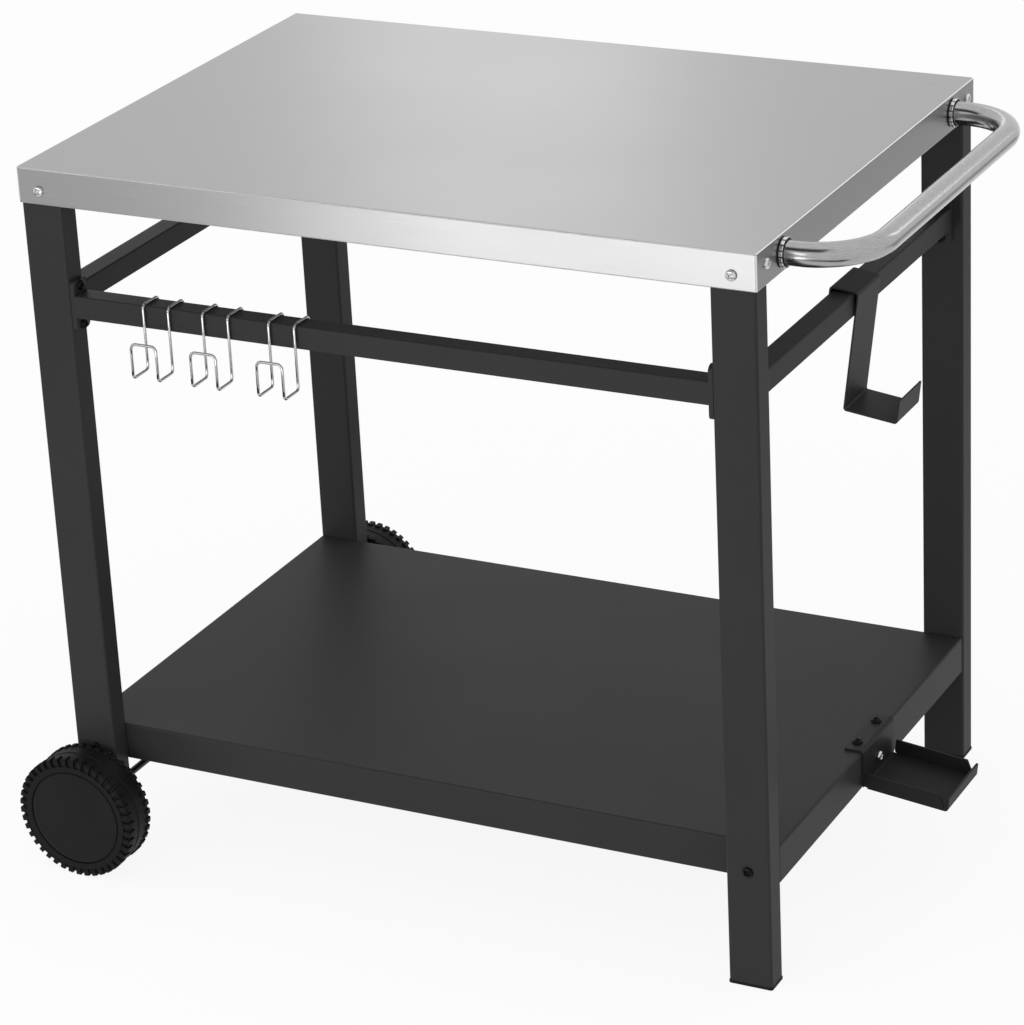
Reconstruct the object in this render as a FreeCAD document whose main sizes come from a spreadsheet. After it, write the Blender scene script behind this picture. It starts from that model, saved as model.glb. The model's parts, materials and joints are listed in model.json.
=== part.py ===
import FreeCAD, Part
import math
import os
import re
import Sketcher

# Outdoor pizza oven table: a wheeled cart with a folded steel top on four tube legs.
# Left is -X, the handle's end is +X, the hooks' side is -Y, and the floor is z = 0.
# Lengths are in millimetres and angles in degrees.

Vec = FreeCAD.Vector
X_AXIS = Vec(1, 0, 0)
Y_AXIS = Vec(0, 1, 0)
Z_AXIS = Vec(0, 0, 1)

doc = FreeCAD.newDocument("outdoor_pizza_oven_table")

# Driving dimensions

SIZES = {
    # The whole table
    "table_length": 830,
    "table_width": 590,
    "table_height": 800,
    "table_shift": -27.5,
    # Folded top
    "top_sheet": 1,
    "top_skirt": 39,
    "top_corner": 4,
    "top_bend": 2,
    "hem_height": 12,
    "skirt_screw_side": 26,
    "skirt_screw_drop": 24,
    "skirt_screw_end": 23,
    "skirt_screw_end_drop": 17,
    # Channels that stiffen the top from below
    "stiffener_spacing": 270,
    "stiffener_web": 30,
    "stiffener_overall": 58,
    "stiffener_depth": 15,
    # Legs
    "leg_width": 48,
    "leg_depth": 28,
    "leg_wall": 1.5,
    "leg_corner": 3,
    "short_leg_lift": 47,
    "cap_height": 3,
    "cap_overhang": 0.6,
    "cap_plug": 14,
    "cap_plug_gap": 0.4,
    # Rails and their welded end plates
    "rail_side": 25,
    "rail_wall": 1.5,
    "rail_corner": 2,
    "rail_level": 650,
    "plate_sheet": 5,
    "plate_height": 55,
    "plate_corner": 5,
    "plate_bolt_offset": 21.5,
    # Lower shelf
    "shelf_length": 824,
    "shelf_level": 153,
    "shelf_skirt": 42,
    "shelf_sheet": 1.2,
    "shelf_corner": 2,
    "shelf_fold": 2,
    "shelf_bolt_level": 133.5,
    # Push handle
    "handle_diameter": 25,
    "handle_wall": 1.5,
    "handle_drop": 19.5,
    "handle_spacing": 460,
    "handle_reach": 81,
    "handle_bend": 66,
    "collar_diameter": 31,
    "collar_length": 5,
    "notch_depth": 0.7,
    "notch_width": 0.9,
    "plug_length": 18,
    # Wheels and axle
    "wheel_radius": 71,
    "wheel_width": 46,
    "wheel_gap": 9,
    "axle_diameter": 8,
    "running_clearance": 0.05,
    "tread_depth": 2,
    "tread_row": 11,
    "ridge_height": 0.8,
    "ridge_width": 3,
    "shoulder": 7,
    "slot_reach": 10,
    "rim_wall": 4.5,
    "web_level": 4,
    "web_sheet": 3.5,
    "boss_diameter": 24,
    "boss_length": 37,
    "cap_radius": 54.7,
    "cap_recess": 2.5,
    "cap_ledge": 4.5,
    "cap_spigot": 7,
    "cap_sheet": 2.2,
    "rib_sheet": 2.5,
    "rib_height": 22,
    # Hooks of round wire
    "wire_diameter": 3,
    "hook_spread": 30,
    "hook_slack": 1.2,
    "hook_level": 594,
    "hook_reach": 29,
    "hook_riser": 38,
    "hook_tail": 12,
    "hook_shoulder_bend": 5,
    "hook_bend": 4,
    # Strap that hangs over the right rail
    "hanger_sheet": 2,
    "hanger_width": 62,
    "hanger_offset": 11,
    "hanger_tilt": 7.5,
    "hanger_mouth": 28.1,
    "hanger_lip": 15,
    "hanger_drop": 130,
    "hanger_reach": 60,
    "hanger_end_lip": 26,
    "bend_inside": 1.5,
    # Bracket on the shelf's right end
    "bracket_sheet": 2.5,
    "bracket_width": 88,
    "bracket_offset": 3,
    "bracket_tab": 19,
    "bracket_face": 41,
    "bracket_reach": 98,
    "bracket_droop": 6.6,
    "bracket_end_lip": 16,
    "bracket_wall": 17.5,
    "bracket_wall_length": 86,
    "bracket_wall_cut": 6,
    "bracket_relief": 4.4,
    "bracket_screw_spacing": 54,
    "bracket_screw_inset": 11,
    "bracket_side_screw_drop": 24,
    # Fasteners
    "bolt_diameter": 6,
    "bolt_head": 11.5,
    "bolt_head_height": 3.6,
    "hole_clearance": 0.25,
    "nut_flats": 10,
    "nut_height": 5,
}

# Centres of the three hooks along the front rail, from the table's middle
HOOK_PLACES = {"hook_left": -260, "hook_middle": -189, "hook_right": -111}

TREAD_BLOCKS = 42
WHEEL_RIBS = 8
COLLAR_NOTCHES = 16

sheet = doc.addObject("Spreadsheet::Sheet", "Sizes")
for row, (alias, size) in enumerate(SIZES.items(), start=1):
    sheet.set(f"A{row}", alias)
    sheet.set(f"B{row}", str(size))
    sheet.setAlias(f"B{row}", alias)
doc.recompute()

# Places worked out from the driving dimensions, as expressions from the table's middle

HALF_LENGTH = "table_length / 2"
HALF_WIDTH = "table_width / 2"
LEG_INSET = "2 * top_sheet"
LEG_X = f"({HALF_LENGTH} - {LEG_INSET} - leg_width / 2)"
LEG_Y = f"({HALF_WIDTH} - {LEG_INSET} - leg_depth / 2)"
BOLT_HOLE = "bolt_diameter + 2 * hole_clearance"
RAIL_TOP = "(rail_level + rail_side / 2)"
HANDLE_LEVEL = "(table_height - handle_drop)"
WHEEL_Y = f"({HALF_WIDTH} - {LEG_INSET} + wheel_gap)"
AXLE_TIP = f"({WHEEL_Y} + boss_length + 3)"


def bound(text):
    """Expression text with each alias turned into a reference to the sheet."""
    def refer(word):
        return "Sizes." + word.group() if word.group() in SIZES else word.group()
    return re.sub(r"[a-z_]+", refer, text)


def size(text):
    """Present value of an expression."""
    found = sheet.evalExpression(text)
    return float(getattr(found, "Value", found))


# Sketches and features

def new_body(name):
    """Empty body whose label names its file."""
    body = doc.addObject("PartDesign::Body", name)
    body.Label = name
    return body


def new_sketch(body, name, role, lift="0", turn="0", shift=("0", "0")):
    """Sketch on one of the body's own planes, moved along the plane's normal and within it."""
    sketch = body.newObject("Sketcher::SketchObject", body.Name + "_" + name)
    support = next(plane for plane in body.Origin.OriginFeatures if plane.Role == role)
    sketch.AttachmentSupport = [(support, "")]
    sketch.MapMode = "FlatFace"
    sketch.AttachmentOffset = FreeCAD.Placement(Vec(), FreeCAD.Rotation(Z_AXIS, size(turn)))
    sketch.setExpression("AttachmentOffset.Rotation.Angle", bound(f"({turn}) * 1 deg"))
    sketch.setExpression("AttachmentOffset.Base.x", bound(shift[0]))
    sketch.setExpression("AttachmentOffset.Base.y", bound(shift[1]))
    sketch.setExpression("AttachmentOffset.Base.z", bound(lift))
    return sketch


def fix_point(sketch, shape_index, end, place):
    """Hold one end or centre of a sketch element at a place given by two expressions."""
    for kind, text in zip(("DistanceX", "DistanceY"), place):
        rule = Sketcher.Constraint(kind, -1, 1, shape_index, end, size(text))
        index = sketch.addConstraint(rule)
        sketch.setExpression(f"Constraints[{index}]", bound(text))


def polygon(sketch, corners):
    """Closed outline through corners that are pairs of expressions."""
    points = [Vec(size(u), size(v), 0) for u, v in corners]
    first = sketch.GeometryCount
    count = len(points)
    for index, point in enumerate(points):
        sketch.addGeometry(Part.LineSegment(point, points[(index + 1) % count]), False)
    for index in range(count):
        after = first + (index + 1) % count
        sketch.addConstraint(Sketcher.Constraint("Coincident", first + index, 2, after, 1))
    for index, corner in enumerate(corners):
        fix_point(sketch, first + index, 1, corner)


def rectangle(sketch, left, low, right, high):
    """Closed rectangle between four expressions."""
    polygon(sketch, [(left, low), (right, low), (right, high), (left, high)])


def rounded_rectangle(sketch, half_u, half_v, radius):
    """Rectangle about the sketch's origin with an arc at each corner."""
    wide, high, bend = size(half_u), size(half_v), size(radius)
    first = sketch.GeometryCount
    signs = [(1, 1), (-1, 1), (-1, -1), (1, -1)]
    for quarter, (side_u, side_v) in enumerate(signs):
        centre = Vec(side_u * (wide - bend), side_v * (high - bend), 0)
        start = quarter * math.pi / 2
        arc = Part.ArcOfCircle(Part.Circle(centre, Z_AXIS, bend), start, start + math.pi / 2)
        sketch.addGeometry(arc, False)
    for quarter in range(4):
        start = sketch.getPoint(first + quarter, 2)
        end = sketch.getPoint(first + (quarter + 1) % 4, 1)
        sketch.addGeometry(Part.LineSegment(start, end), False)
    for quarter in range(4):
        line = first + 4 + quarter
        sketch.addConstraint(Sketcher.Constraint("Tangent", first + quarter, 2, line, 1))
        sketch.addConstraint(Sketcher.Constraint("Tangent", line, 2, first + (quarter + 1) % 4, 1))
        rule = Sketcher.Constraint("Radius", first + quarter, bend)
        sketch.setExpression(f"Constraints[{sketch.addConstraint(rule)}]", bound(radius))
    for quarter, (side_u, side_v) in enumerate(signs):
        sign_u = "" if side_u > 0 else "-"
        sign_v = "" if side_v > 0 else "-"
        centre = (f"{sign_u}({half_u} - ({radius}))", f"{sign_v}({half_v} - ({radius}))")
        if quarter in (0, 2):
            fix_point(sketch, first + quarter, 3, centre)


def circle(sketch, centre, diameter):
    """Circle at a centre given by two expressions."""
    at = Vec(size(centre[0]), size(centre[1]), 0)
    index = sketch.addGeometry(Part.Circle(at, Z_AXIS, size(diameter) / 2), False)
    rule = Sketcher.Constraint("Diameter", index, size(diameter))
    sketch.setExpression(f"Constraints[{sketch.addConstraint(rule)}]", bound(diameter))
    fix_point(sketch, index, 3, centre)


def pad(body, sketch, length, midplane=False, reverse=False):
    """Extrusion of a sketch that adds material."""
    feature = body.newObject("PartDesign::Pad", sketch.Name + "_pad")
    feature.Profile = sketch
    feature.setExpression("Length", bound(length))
    feature.Midplane = midplane
    feature.Reversed = reverse
    doc.recompute()
    return feature


def pocket(body, sketch, length=None, midplane=False, reverse=False):
    """Extrusion of a sketch that removes material, right through where no length is given."""
    before = body.Shape.Volume
    feature = body.newObject("PartDesign::Pocket", sketch.Name + "_pocket")
    feature.Profile = sketch
    feature.Reversed = reverse
    if length is None:
        feature.Type = "ThroughAll"
    else:
        feature.setExpression("Length", bound(length))
    feature.Midplane = midplane
    doc.recompute()
    if body.Shape.Volume > before - 1e-3:
        raise RuntimeError(feature.Name + " removes nothing")
    return feature


def revolve(body, sketch):
    """Full turn of a sketch about its own vertical axis."""
    feature = body.newObject("PartDesign::Revolution", sketch.Name + "_turn")
    feature.Profile = sketch
    feature.ReferenceAxis = (sketch, ["V_Axis"])
    feature.Angle = 360
    doc.recompute()
    return feature


def fillet(body, edges, radius):
    """Rounding of named edges of the body as it stands."""
    feature = body.newObject("PartDesign::Fillet", body.Name + "_fillet")
    feature.Base = (feature.BaseFeature, edges)
    feature.setExpression("Radius", bound(radius))
    doc.recompute()
    return feature


def edges_along(body, axis, where):
    """Names of the straight edges along an axis whose middle is accepted."""
    names = []
    for index, edge in enumerate(body.Tip.Shape.Edges, start=1):
        if edge.Curve.TypeId != "Part::GeomLine":
            continue
        start, end = edge.Vertexes[0].Point, edge.Vertexes[-1].Point
        if (end - start).cross(axis).Length < 1e-6 and where((start + end) * 0.5):
            names.append(f"Edge{index}")
    return names


def bends(body, outside, inside, sheet_alias):
    """Round the folds of a strip bent about Y; each fold is a pair of expressions in X and Z."""
    for folds, radius in ((outside, f"bend_inside + {sheet_alias}"), (inside, "bend_inside")):
        places = [(size(u), size(v)) for u, v in folds]

        def at_fold(middle, places=places):
            return any(math.hypot(middle.x - u, middle.z - v) < 0.01 for u, v in places)

        fillet(body, edges_along(body, Y_AXIS, at_fold), radius)


def place(item, x="0", y="0", z="0", axis=Z_AXIS, angle="0"):
    """Put a sub-part at its place on the table, turned about one axis."""
    item.Placement = FreeCAD.Placement(Vec(), FreeCAD.Rotation(axis, size(angle)))
    item.setExpression("Placement.Base.x", bound(f"table_shift + ({x})"))
    item.setExpression("Placement.Base.y", bound(y))
    item.setExpression("Placement.Base.z", bound(z))
    if angle in SIZES:
        item.setExpression("Placement.Rotation.Angle", bound(f"{angle} * 1 deg"))
    return item


def signed(sign, text):
    """Expression on the positive or the negative side."""
    return f"({text})" if sign > 0 else f"-({text})"


# Folded top: a sheet with its skirt turned down and the skirt's edge hemmed inwards

def tabletop():
    body = new_body("tabletop")
    outer = new_sketch(body, "outer", "XY_Plane")
    rounded_rectangle(outer, HALF_LENGTH, HALF_WIDTH, "top_corner")
    pad(body, outer, "top_skirt", reverse=True)
    rim = [
        f"Edge{index}"
        for index, edge in enumerate(body.Tip.Shape.Edges, start=1)
        if abs(edge.BoundBox.ZMin) < 1e-6
    ]
    fillet(body, rim, "top_bend")
    mouth = new_sketch(body, "mouth", "XY_Plane", lift="-top_skirt")
    rounded_rectangle(mouth, f"({HALF_LENGTH} - 2 * top_sheet)", f"({HALF_WIDTH} - 2 * top_sheet)",
                      "top_corner - 2 * top_sheet")
    pocket(body, mouth, "hem_height", reverse=True)
    cavity = new_sketch(body, "cavity", "XY_Plane", lift="-top_sheet")
    rounded_rectangle(cavity, f"({HALF_LENGTH} - top_sheet)", f"({HALF_WIDTH} - top_sheet)",
                      "top_corner - top_sheet")
    pocket(body, cavity, "top_skirt - top_sheet - hem_height")
    sides = new_sketch(body, "side_holes", "XZ_Plane")
    for sign in (-1, 1):
        side = signed(sign, f"{HALF_LENGTH} - skirt_screw_side")
        circle(sides, (side, "-skirt_screw_drop"), BOLT_HOLE)
    pocket(body, sides, midplane=True)
    ends = new_sketch(body, "end_holes", "YZ_Plane")
    for sign in (-1, 1):
        circle(ends, (signed(sign, f"{HALF_WIDTH} - skirt_screw_end"), "-skirt_screw_end_drop"), BOLT_HOLE)
    pocket(body, ends, midplane=True)
    grips = new_sketch(body, "handle_holes", "YZ_Plane")
    for sign in (-1, 1):
        circle(grips, (signed(sign, "handle_spacing / 2"), "-handle_drop"), BOLT_HOLE)
    pocket(body, grips, reverse=True)
    return place(body, z="table_height")


def stiffener(name, side):
    """Hat channel welded flat against the underside of the top."""
    body = new_body(name)
    profile = new_sketch(body, "profile", "XZ_Plane")
    right = [
        ("stiffener_web / 2 - top_sheet", "0"),
        ("stiffener_overall / 2", "0"),
        ("stiffener_overall / 2", "-top_sheet"),
        ("stiffener_web / 2", "-top_sheet"),
        ("stiffener_web / 2", "-stiffener_depth"),
    ]
    left = [(f"-({u})", v) for u, v in reversed(right)]
    floor = [
        ("-(stiffener_web / 2 - top_sheet)", "top_sheet - stiffener_depth"),
        ("stiffener_web / 2 - top_sheet", "top_sheet - stiffener_depth"),
    ]
    polygon(profile, right + left + floor)
    pad(body, profile, f"2 * ({HALF_WIDTH} - {LEG_INSET} - 1)", midplane=True)
    return place(body, signed(side, "stiffener_spacing / 2"), z="table_height - top_sheet")


# Legs: rectangular tubes, the two over the axle shorter than the two that stand on the floor

def leg(name, side, row):
    """Leg at one corner, drilled for everything that is bolted to it."""
    low = "short_leg_lift + cap_height" if side < 0 else "cap_height"
    body = new_body(name)
    section = new_sketch(body, "section", "XY_Plane", lift=low)
    rounded_rectangle(section, "leg_width / 2", "leg_depth / 2", "leg_corner")
    rounded_rectangle(section, "leg_width / 2 - leg_wall", "leg_depth / 2 - leg_wall", "leg_corner - leg_wall")
    pad(body, section, f"table_height - top_sheet - ({low})")

    through = new_sketch(body, "through_holes", "XZ_Plane")
    circle(through, ("0", "shelf_bolt_level"), BOLT_HOLE)
    if side < 0:
        circle(through, ("0", "wheel_radius"), "axle_diameter + 4 * running_clearance")
    pocket(body, through, midplane=True)

    outside = new_sketch(body, "skirt_hole", "XZ_Plane")
    circle(outside, ("0", "table_height - skirt_screw_drop"), BOLT_HOLE)
    pocket(body, outside, reverse=row < 0)

    end = new_sketch(body, "end_hole", "YZ_Plane")
    inwards = signed(-row, "skirt_screw_end - leg_depth / 2 - 2 * top_sheet")
    circle(end, (inwards, "table_height - skirt_screw_end_drop"), BOLT_HOLE)
    pocket(body, end, reverse=side > 0)

    inner = new_sketch(body, "side_rail_holes", "XZ_Plane")
    for sign in (-1, 1):
        circle(inner, ("0", f"rail_level + {signed(sign, 'plate_bolt_offset')}"), BOLT_HOLE)
    pocket(body, inner, reverse=row > 0)

    if row < 0:
        front = new_sketch(body, "front_rail_holes", "YZ_Plane")
        for sign in (-1, 1):
            circle(front, ("0", f"rail_level + {signed(sign, 'plate_bolt_offset')}"), BOLT_HOLE)
        pocket(body, front, reverse=side < 0)
    return place(body, signed(side, LEG_X), signed(row, LEG_Y))


def leg_cap(name, side, row):
    """Plastic insert that closes the lower end of a leg, its rim a little proud of the tube."""
    body = new_body(name)
    rim = new_sketch(body, "rim", "XY_Plane")
    rounded_rectangle(rim, "leg_width / 2 + cap_overhang", "leg_depth / 2 + cap_overhang", "leg_corner")
    pad(body, rim, "cap_height")
    lower = edges_along(body, X_AXIS, lambda middle: middle.z < 1e-6)
    lower += edges_along(body, Y_AXIS, lambda middle: middle.z < 1e-6)
    fillet(body, lower, "0.8")
    plug = new_sketch(body, "plug", "XY_Plane", lift="cap_height")
    gap = "leg_wall - cap_plug_gap"
    rounded_rectangle(plug, f"leg_width / 2 - {gap}", f"leg_depth / 2 - {gap}", "leg_wall")
    rounded_rectangle(plug, f"leg_width / 2 - {gap} - 2", f"leg_depth / 2 - {gap} - 2", "1")
    pad(body, plug, "cap_plug")
    return place(body, signed(side, LEG_X), signed(row, LEG_Y), "short_leg_lift" if side < 0 else "0")


# Rails: square tubes with a plate welded across each end

def rail(name, span, x, y, along_y):
    """Rail of a given span between two legs, along X about its own middle: a tube and two plates."""
    tube = new_body(name + "_tube")
    section = new_sketch(tube, "section", "YZ_Plane")
    rounded_rectangle(section, "rail_side / 2", "rail_side / 2", "rail_corner")
    rounded_rectangle(section, "rail_side / 2 - rail_wall", "rail_side / 2 - rail_wall", "0.5")
    pad(tube, section, f"{span} - 2 * plate_sheet", midplane=True)
    pieces = [tube]
    for side, side_name in ((-1, "left"), (1, "right")):
        plate = new_body(f"{name}_{side_name}_plate")
        start = signed(side, f"({span}) / 2 - plate_sheet")
        outline = new_sketch(plate, "outline", "YZ_Plane", lift=start)
        rounded_rectangle(outline, "rail_side / 2", "plate_height / 2", "plate_corner")
        for offset in (-1, 1):
            circle(outline, ("0", signed(offset, "plate_bolt_offset")), BOLT_HOLE)
        pad(plate, outline, "plate_sheet", reverse=side < 0)
        pieces.append(plate)
    item = doc.addObject("Part::Compound", name)
    item.Label = name
    item.Links = pieces
    doc.recompute()
    return place(item, x, y, "rail_level", angle="90" if along_y else "0")


# Lower shelf: an inverted tray between the front and the back legs

def lower_shelf():
    """Folded tray as touching solids: the panel down to its bends, and the four flanges below them."""
    half_x = "shelf_length / 2"
    half_y = f"({LEG_Y} - leg_depth / 2)"
    panel = new_body("lower_shelf_panel")
    outer = new_sketch(panel, "outer", "XY_Plane")
    rounded_rectangle(outer, half_x, half_y, "shelf_corner")
    pad(panel, outer, "shelf_fold", reverse=True)
    rim = [
        f"Edge{index}"
        for index, edge in enumerate(panel.Tip.Shape.Edges, start=1)
        if abs(edge.BoundBox.ZMin) < 1e-6
    ]
    fillet(panel, rim, "shelf_fold - 0.2")
    cavity = new_sketch(panel, "cavity", "XY_Plane", lift="-shelf_sheet")
    rounded_rectangle(cavity, f"({half_x} - shelf_sheet)", f"({half_y} - shelf_sheet)", "shelf_corner - shelf_sheet")
    pocket(panel, cavity, "shelf_fold")
    top = new_sketch(panel, "bracket_top_holes", "XY_Plane")
    for side in (-1, 1):
        across = f"bracket_offset + {signed(side, 'bracket_screw_spacing / 2')}"
        circle(top, (f"{half_x} - bracket_screw_inset", across), BOLT_HOLE)
    pocket(panel, top, "2 * shelf_sheet")
    pieces = [panel]

    for row, row_name in ((-1, "front"), (1, "back")):
        flange = new_body(f"lower_shelf_{row_name}_flange")
        section = new_sketch(flange, "section", "XY_Plane", lift="-shelf_fold")
        low, high = (f"{half_y} - shelf_sheet", half_y)[::row]
        run = f"({half_x} - shelf_corner)"
        rectangle(section, f"-{run}", signed(row, f"({low})"), run, signed(row, f"({high})"))
        pad(flange, section, "shelf_skirt - shelf_fold", reverse=True)
        holes = new_sketch(flange, "leg_bolt_holes", "XZ_Plane")
        for side in (-1, 1):
            circle(holes, (signed(side, LEG_X), "shelf_bolt_level - shelf_level"), BOLT_HOLE)
        pocket(flange, holes, midplane=True)
        pieces.append(flange)

    for side, side_name in ((-1, "left"), (1, "right")):
        flange = new_body(f"lower_shelf_{side_name}_flange")
        section = new_sketch(flange, "section", "XY_Plane", lift="-shelf_fold")
        low, high = (f"{half_x} - shelf_sheet", half_x)[::side]
        run = f"({half_y} - shelf_corner)"
        rectangle(section, signed(side, f"({low})"), f"-{run}", signed(side, f"({high})"), run)
        pad(flange, section, "shelf_skirt - shelf_fold", reverse=True)
        if side > 0:
            hole = new_sketch(flange, "bracket_end_hole", "YZ_Plane")
            circle(hole, ("bracket_offset", "-bracket_side_screw_drop"), BOLT_HOLE)
            pocket(flange, hole, reverse=True)
        pieces.append(flange)

    item = doc.addObject("Part::Compound", "lower_shelf")
    item.Label = "lower_shelf"
    item.Links = pieces
    doc.recompute()
    return place(item, z="shelf_level")


# Push handle: a tube bent to a wide U, standing on two collars

def handle_route(body, name):
    """Middle line of the handle, seen from above with its feet on the skirt."""
    route = new_sketch(body, name, "XY_Plane")
    half = "handle_spacing / 2"
    reach, bend, end = size("handle_reach"), size("handle_bend"), size(half)
    upper = Part.Circle(Vec(reach - bend, end - bend, 0), Z_AXIS, bend)
    lower = Part.Circle(Vec(reach - bend, bend - end, 0), Z_AXIS, bend)
    route.addGeometry(Part.LineSegment(Vec(0, -end, 0), Vec(reach - bend, -end, 0)), False)
    route.addGeometry(Part.ArcOfCircle(lower, -math.pi / 2, 0), False)
    route.addGeometry(Part.LineSegment(Vec(reach, bend - end, 0), Vec(reach, end - bend, 0)), False)
    route.addGeometry(Part.ArcOfCircle(upper, 0, math.pi / 2), False)
    route.addGeometry(Part.LineSegment(Vec(reach - bend, end, 0), Vec(0, end, 0)), False)
    for first in range(4):
        route.addConstraint(Sketcher.Constraint("Tangent", first, 2, first + 1, 1))
    route.addConstraint(Sketcher.Constraint("Vertical", 2))
    for arc in (1, 3):
        rule = Sketcher.Constraint("Radius", arc, bend)
        route.setExpression(f"Constraints[{route.addConstraint(rule)}]", bound("handle_bend"))
    fix_point(route, 0, 1, ("0", f"-{half}"))
    fix_point(route, 4, 2, ("0", half))
    rule = Sketcher.Constraint("DistanceX", -1, 1, 2, 1, reach)
    route.setExpression(f"Constraints[{route.addConstraint(rule)}]", bound("handle_reach"))
    return route


def handle_tube():
    body = new_body("handle_tube")
    for kind, diameter in (("Additive", "handle_diameter"), ("Subtractive", "handle_diameter - 2 * handle_wall")):
        route = handle_route(body, kind.lower() + "_route")
        ring = new_sketch(body, kind.lower() + "_section", "YZ_Plane")
        circle(ring, ("-handle_spacing / 2", "0"), diameter)
        doc.recompute()
        before = body.Shape.Volume if body.Tip else 0
        pipe = body.newObject(f"PartDesign::{kind}Pipe", "handle_" + kind.lower())
        pipe.Profile = ring
        pipe.Spine = (route, [f"Edge{index}" for index in range(1, 6)])
        doc.recompute()
        if kind == "Subtractive" and body.Shape.Volume > 0.5 * before:
            raise RuntimeError("the handle's bore removes too little")
    return place(body, HALF_LENGTH, z=HANDLE_LEVEL)


def ring(name, outer, inner, length, x, y, z, axis=Z_AXIS, angle="0", notches=0):
    """Ring that stands up from its own origin, with notches across its rim if asked."""
    body = new_body(name)
    section = new_sketch(body, "section", "XY_Plane")
    circle(section, ("0", "0"), outer)
    circle(section, ("0", "0"), inner)
    pad(body, section, length)
    if notches:
        notch = new_sketch(body, "notch", "XY_Plane", lift=length)
        rectangle(notch, f"{outer} / 2 - notch_depth", "-notch_width / 2", f"{outer} / 2 + 1", "notch_width / 2")
        cut = pocket(body, notch)
        row = body.newObject("PartDesign::PolarPattern", body.Name + "_notches")
        row.Originals = [cut]
        row.Axis = (section, ["N_Axis"])
        row.Angle = 360
        row.Occurrences = notches
        body.Tip = row
        doc.recompute()
    return place(body, x, y, z, axis, angle)


# Wheels: one moulding with a boss, a web, ribs and a tyre with two rows of tread blocks

def wheel(name, row):
    """Wheel about its own Z axis, outer side up, with its inner face at z = 0."""
    body = new_body(name)
    base = "(wheel_radius - tread_depth)"
    bore = "axle_diameter / 2 + running_clearance"
    low = "shoulder"
    high = "(wheel_width - shoulder)"
    middle = "wheel_width / 2"
    inner_rim = f"({base} - rim_wall)"
    face = "(wheel_width - 1)"
    ledge = "(cap_radius - cap_ledge)"
    profile = new_sketch(body, "profile", "XZ_Plane")
    polygon(profile, [
        (bore, "0"),
        ("boss_diameter / 2", "0"),
        ("boss_diameter / 2 + 2", "web_level"),
        (f"{inner_rim} - 4", "web_level"),
        (inner_rim, "1"),
        (f"{base} - 2", "1"),
        ("wheel_radius", low),
        ("wheel_radius", f"{low} + tread_row"),
        (base, f"{low} + tread_row"),
        (base, f"{middle} - ridge_width / 2"),
        (f"{base} + ridge_height", f"{middle} - ridge_width / 2"),
        (f"{base} + ridge_height", f"{middle} + ridge_width / 2"),
        (base, f"{middle} + ridge_width / 2"),
        (base, f"{high} - tread_row"),
        ("wheel_radius", f"{high} - tread_row"),
        ("wheel_radius", high),
        (f"{base} - 5", face),
        ("cap_radius + 0.4", face),
        ("cap_radius + 0.4", f"{face} - cap_recess"),
        (ledge, f"{face} - cap_recess"),
        (ledge, f"{face} - cap_recess - 3"),
        (inner_rim, f"{face} - cap_recess - 3"),
        (inner_rim, "web_level + web_sheet"),
        ("boss_diameter / 2", "web_level + web_sheet"),
        ("boss_diameter / 2", "boss_length"),
        (bore, "boss_length"),
    ])
    revolve(body, profile)

    notch = new_sketch(body, "notch", "XZ_Plane")
    polygon(notch, [
        (base, f"{high} - tread_row - 1"),
        ("wheel_radius + 1", f"{high} - tread_row - 1"),
        ("wheel_radius + 1", "wheel_width + 1"),
        (f"{base} - slot_reach + 2", "wheel_width + 1"),
        (f"{base} - slot_reach + 2", f"{face} - 1.2"),
        (f"{base} - 4", f"{face} - 2"),
        (base, f"{high} - 1"),
    ])
    polygon(notch, [
        (base, f"{low} + tread_row + 1"),
        (base, f"{low} + 1"),
        (f"{base} - 4", "2.4"),
        (f"{base} - 4", "-1"),
        ("wheel_radius + 1", "-1"),
        ("wheel_radius + 1", f"{low} + tread_row + 1"),
    ])
    groove = body.newObject("PartDesign::Groove", body.Name + "_gap")
    groove.Profile = notch
    groove.ReferenceAxis = (notch, ["V_Axis"])
    groove.Angle = 180 / TREAD_BLOCKS
    groove.Midplane = True
    doc.recompute()
    before = body.Shape.Volume
    gaps = body.newObject("PartDesign::PolarPattern", body.Name + "_gaps")
    gaps.Originals = [groove]
    gaps.Axis = (profile, ["V_Axis"])
    gaps.Angle = 360
    gaps.Occurrences = TREAD_BLOCKS
    body.Tip = gaps
    doc.recompute()
    if body.Shape.Volume > before - 1:
        raise RuntimeError(gaps.Name + " removes nothing")

    rib = new_sketch(body, "rib", "XY_Plane", lift="web_level + 1")
    rectangle(rib, "boss_diameter / 2 - 1", "-rib_sheet / 2", f"{inner_rim} + 1", "rib_sheet / 2")
    one_rib = pad(body, rib, "rib_height")
    ribs = body.newObject("PartDesign::PolarPattern", body.Name + "_ribs")
    ribs.Originals = [one_rib]
    ribs.Axis = (profile, ["V_Axis"])
    ribs.Angle = 360
    ribs.Occurrences = WHEEL_RIBS
    body.Tip = ribs
    doc.recompute()
    return place(body, f"-{LEG_X}", signed(row, WHEEL_Y), "wheel_radius", X_AXIS, "90" if row < 0 else "-90")


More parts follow.
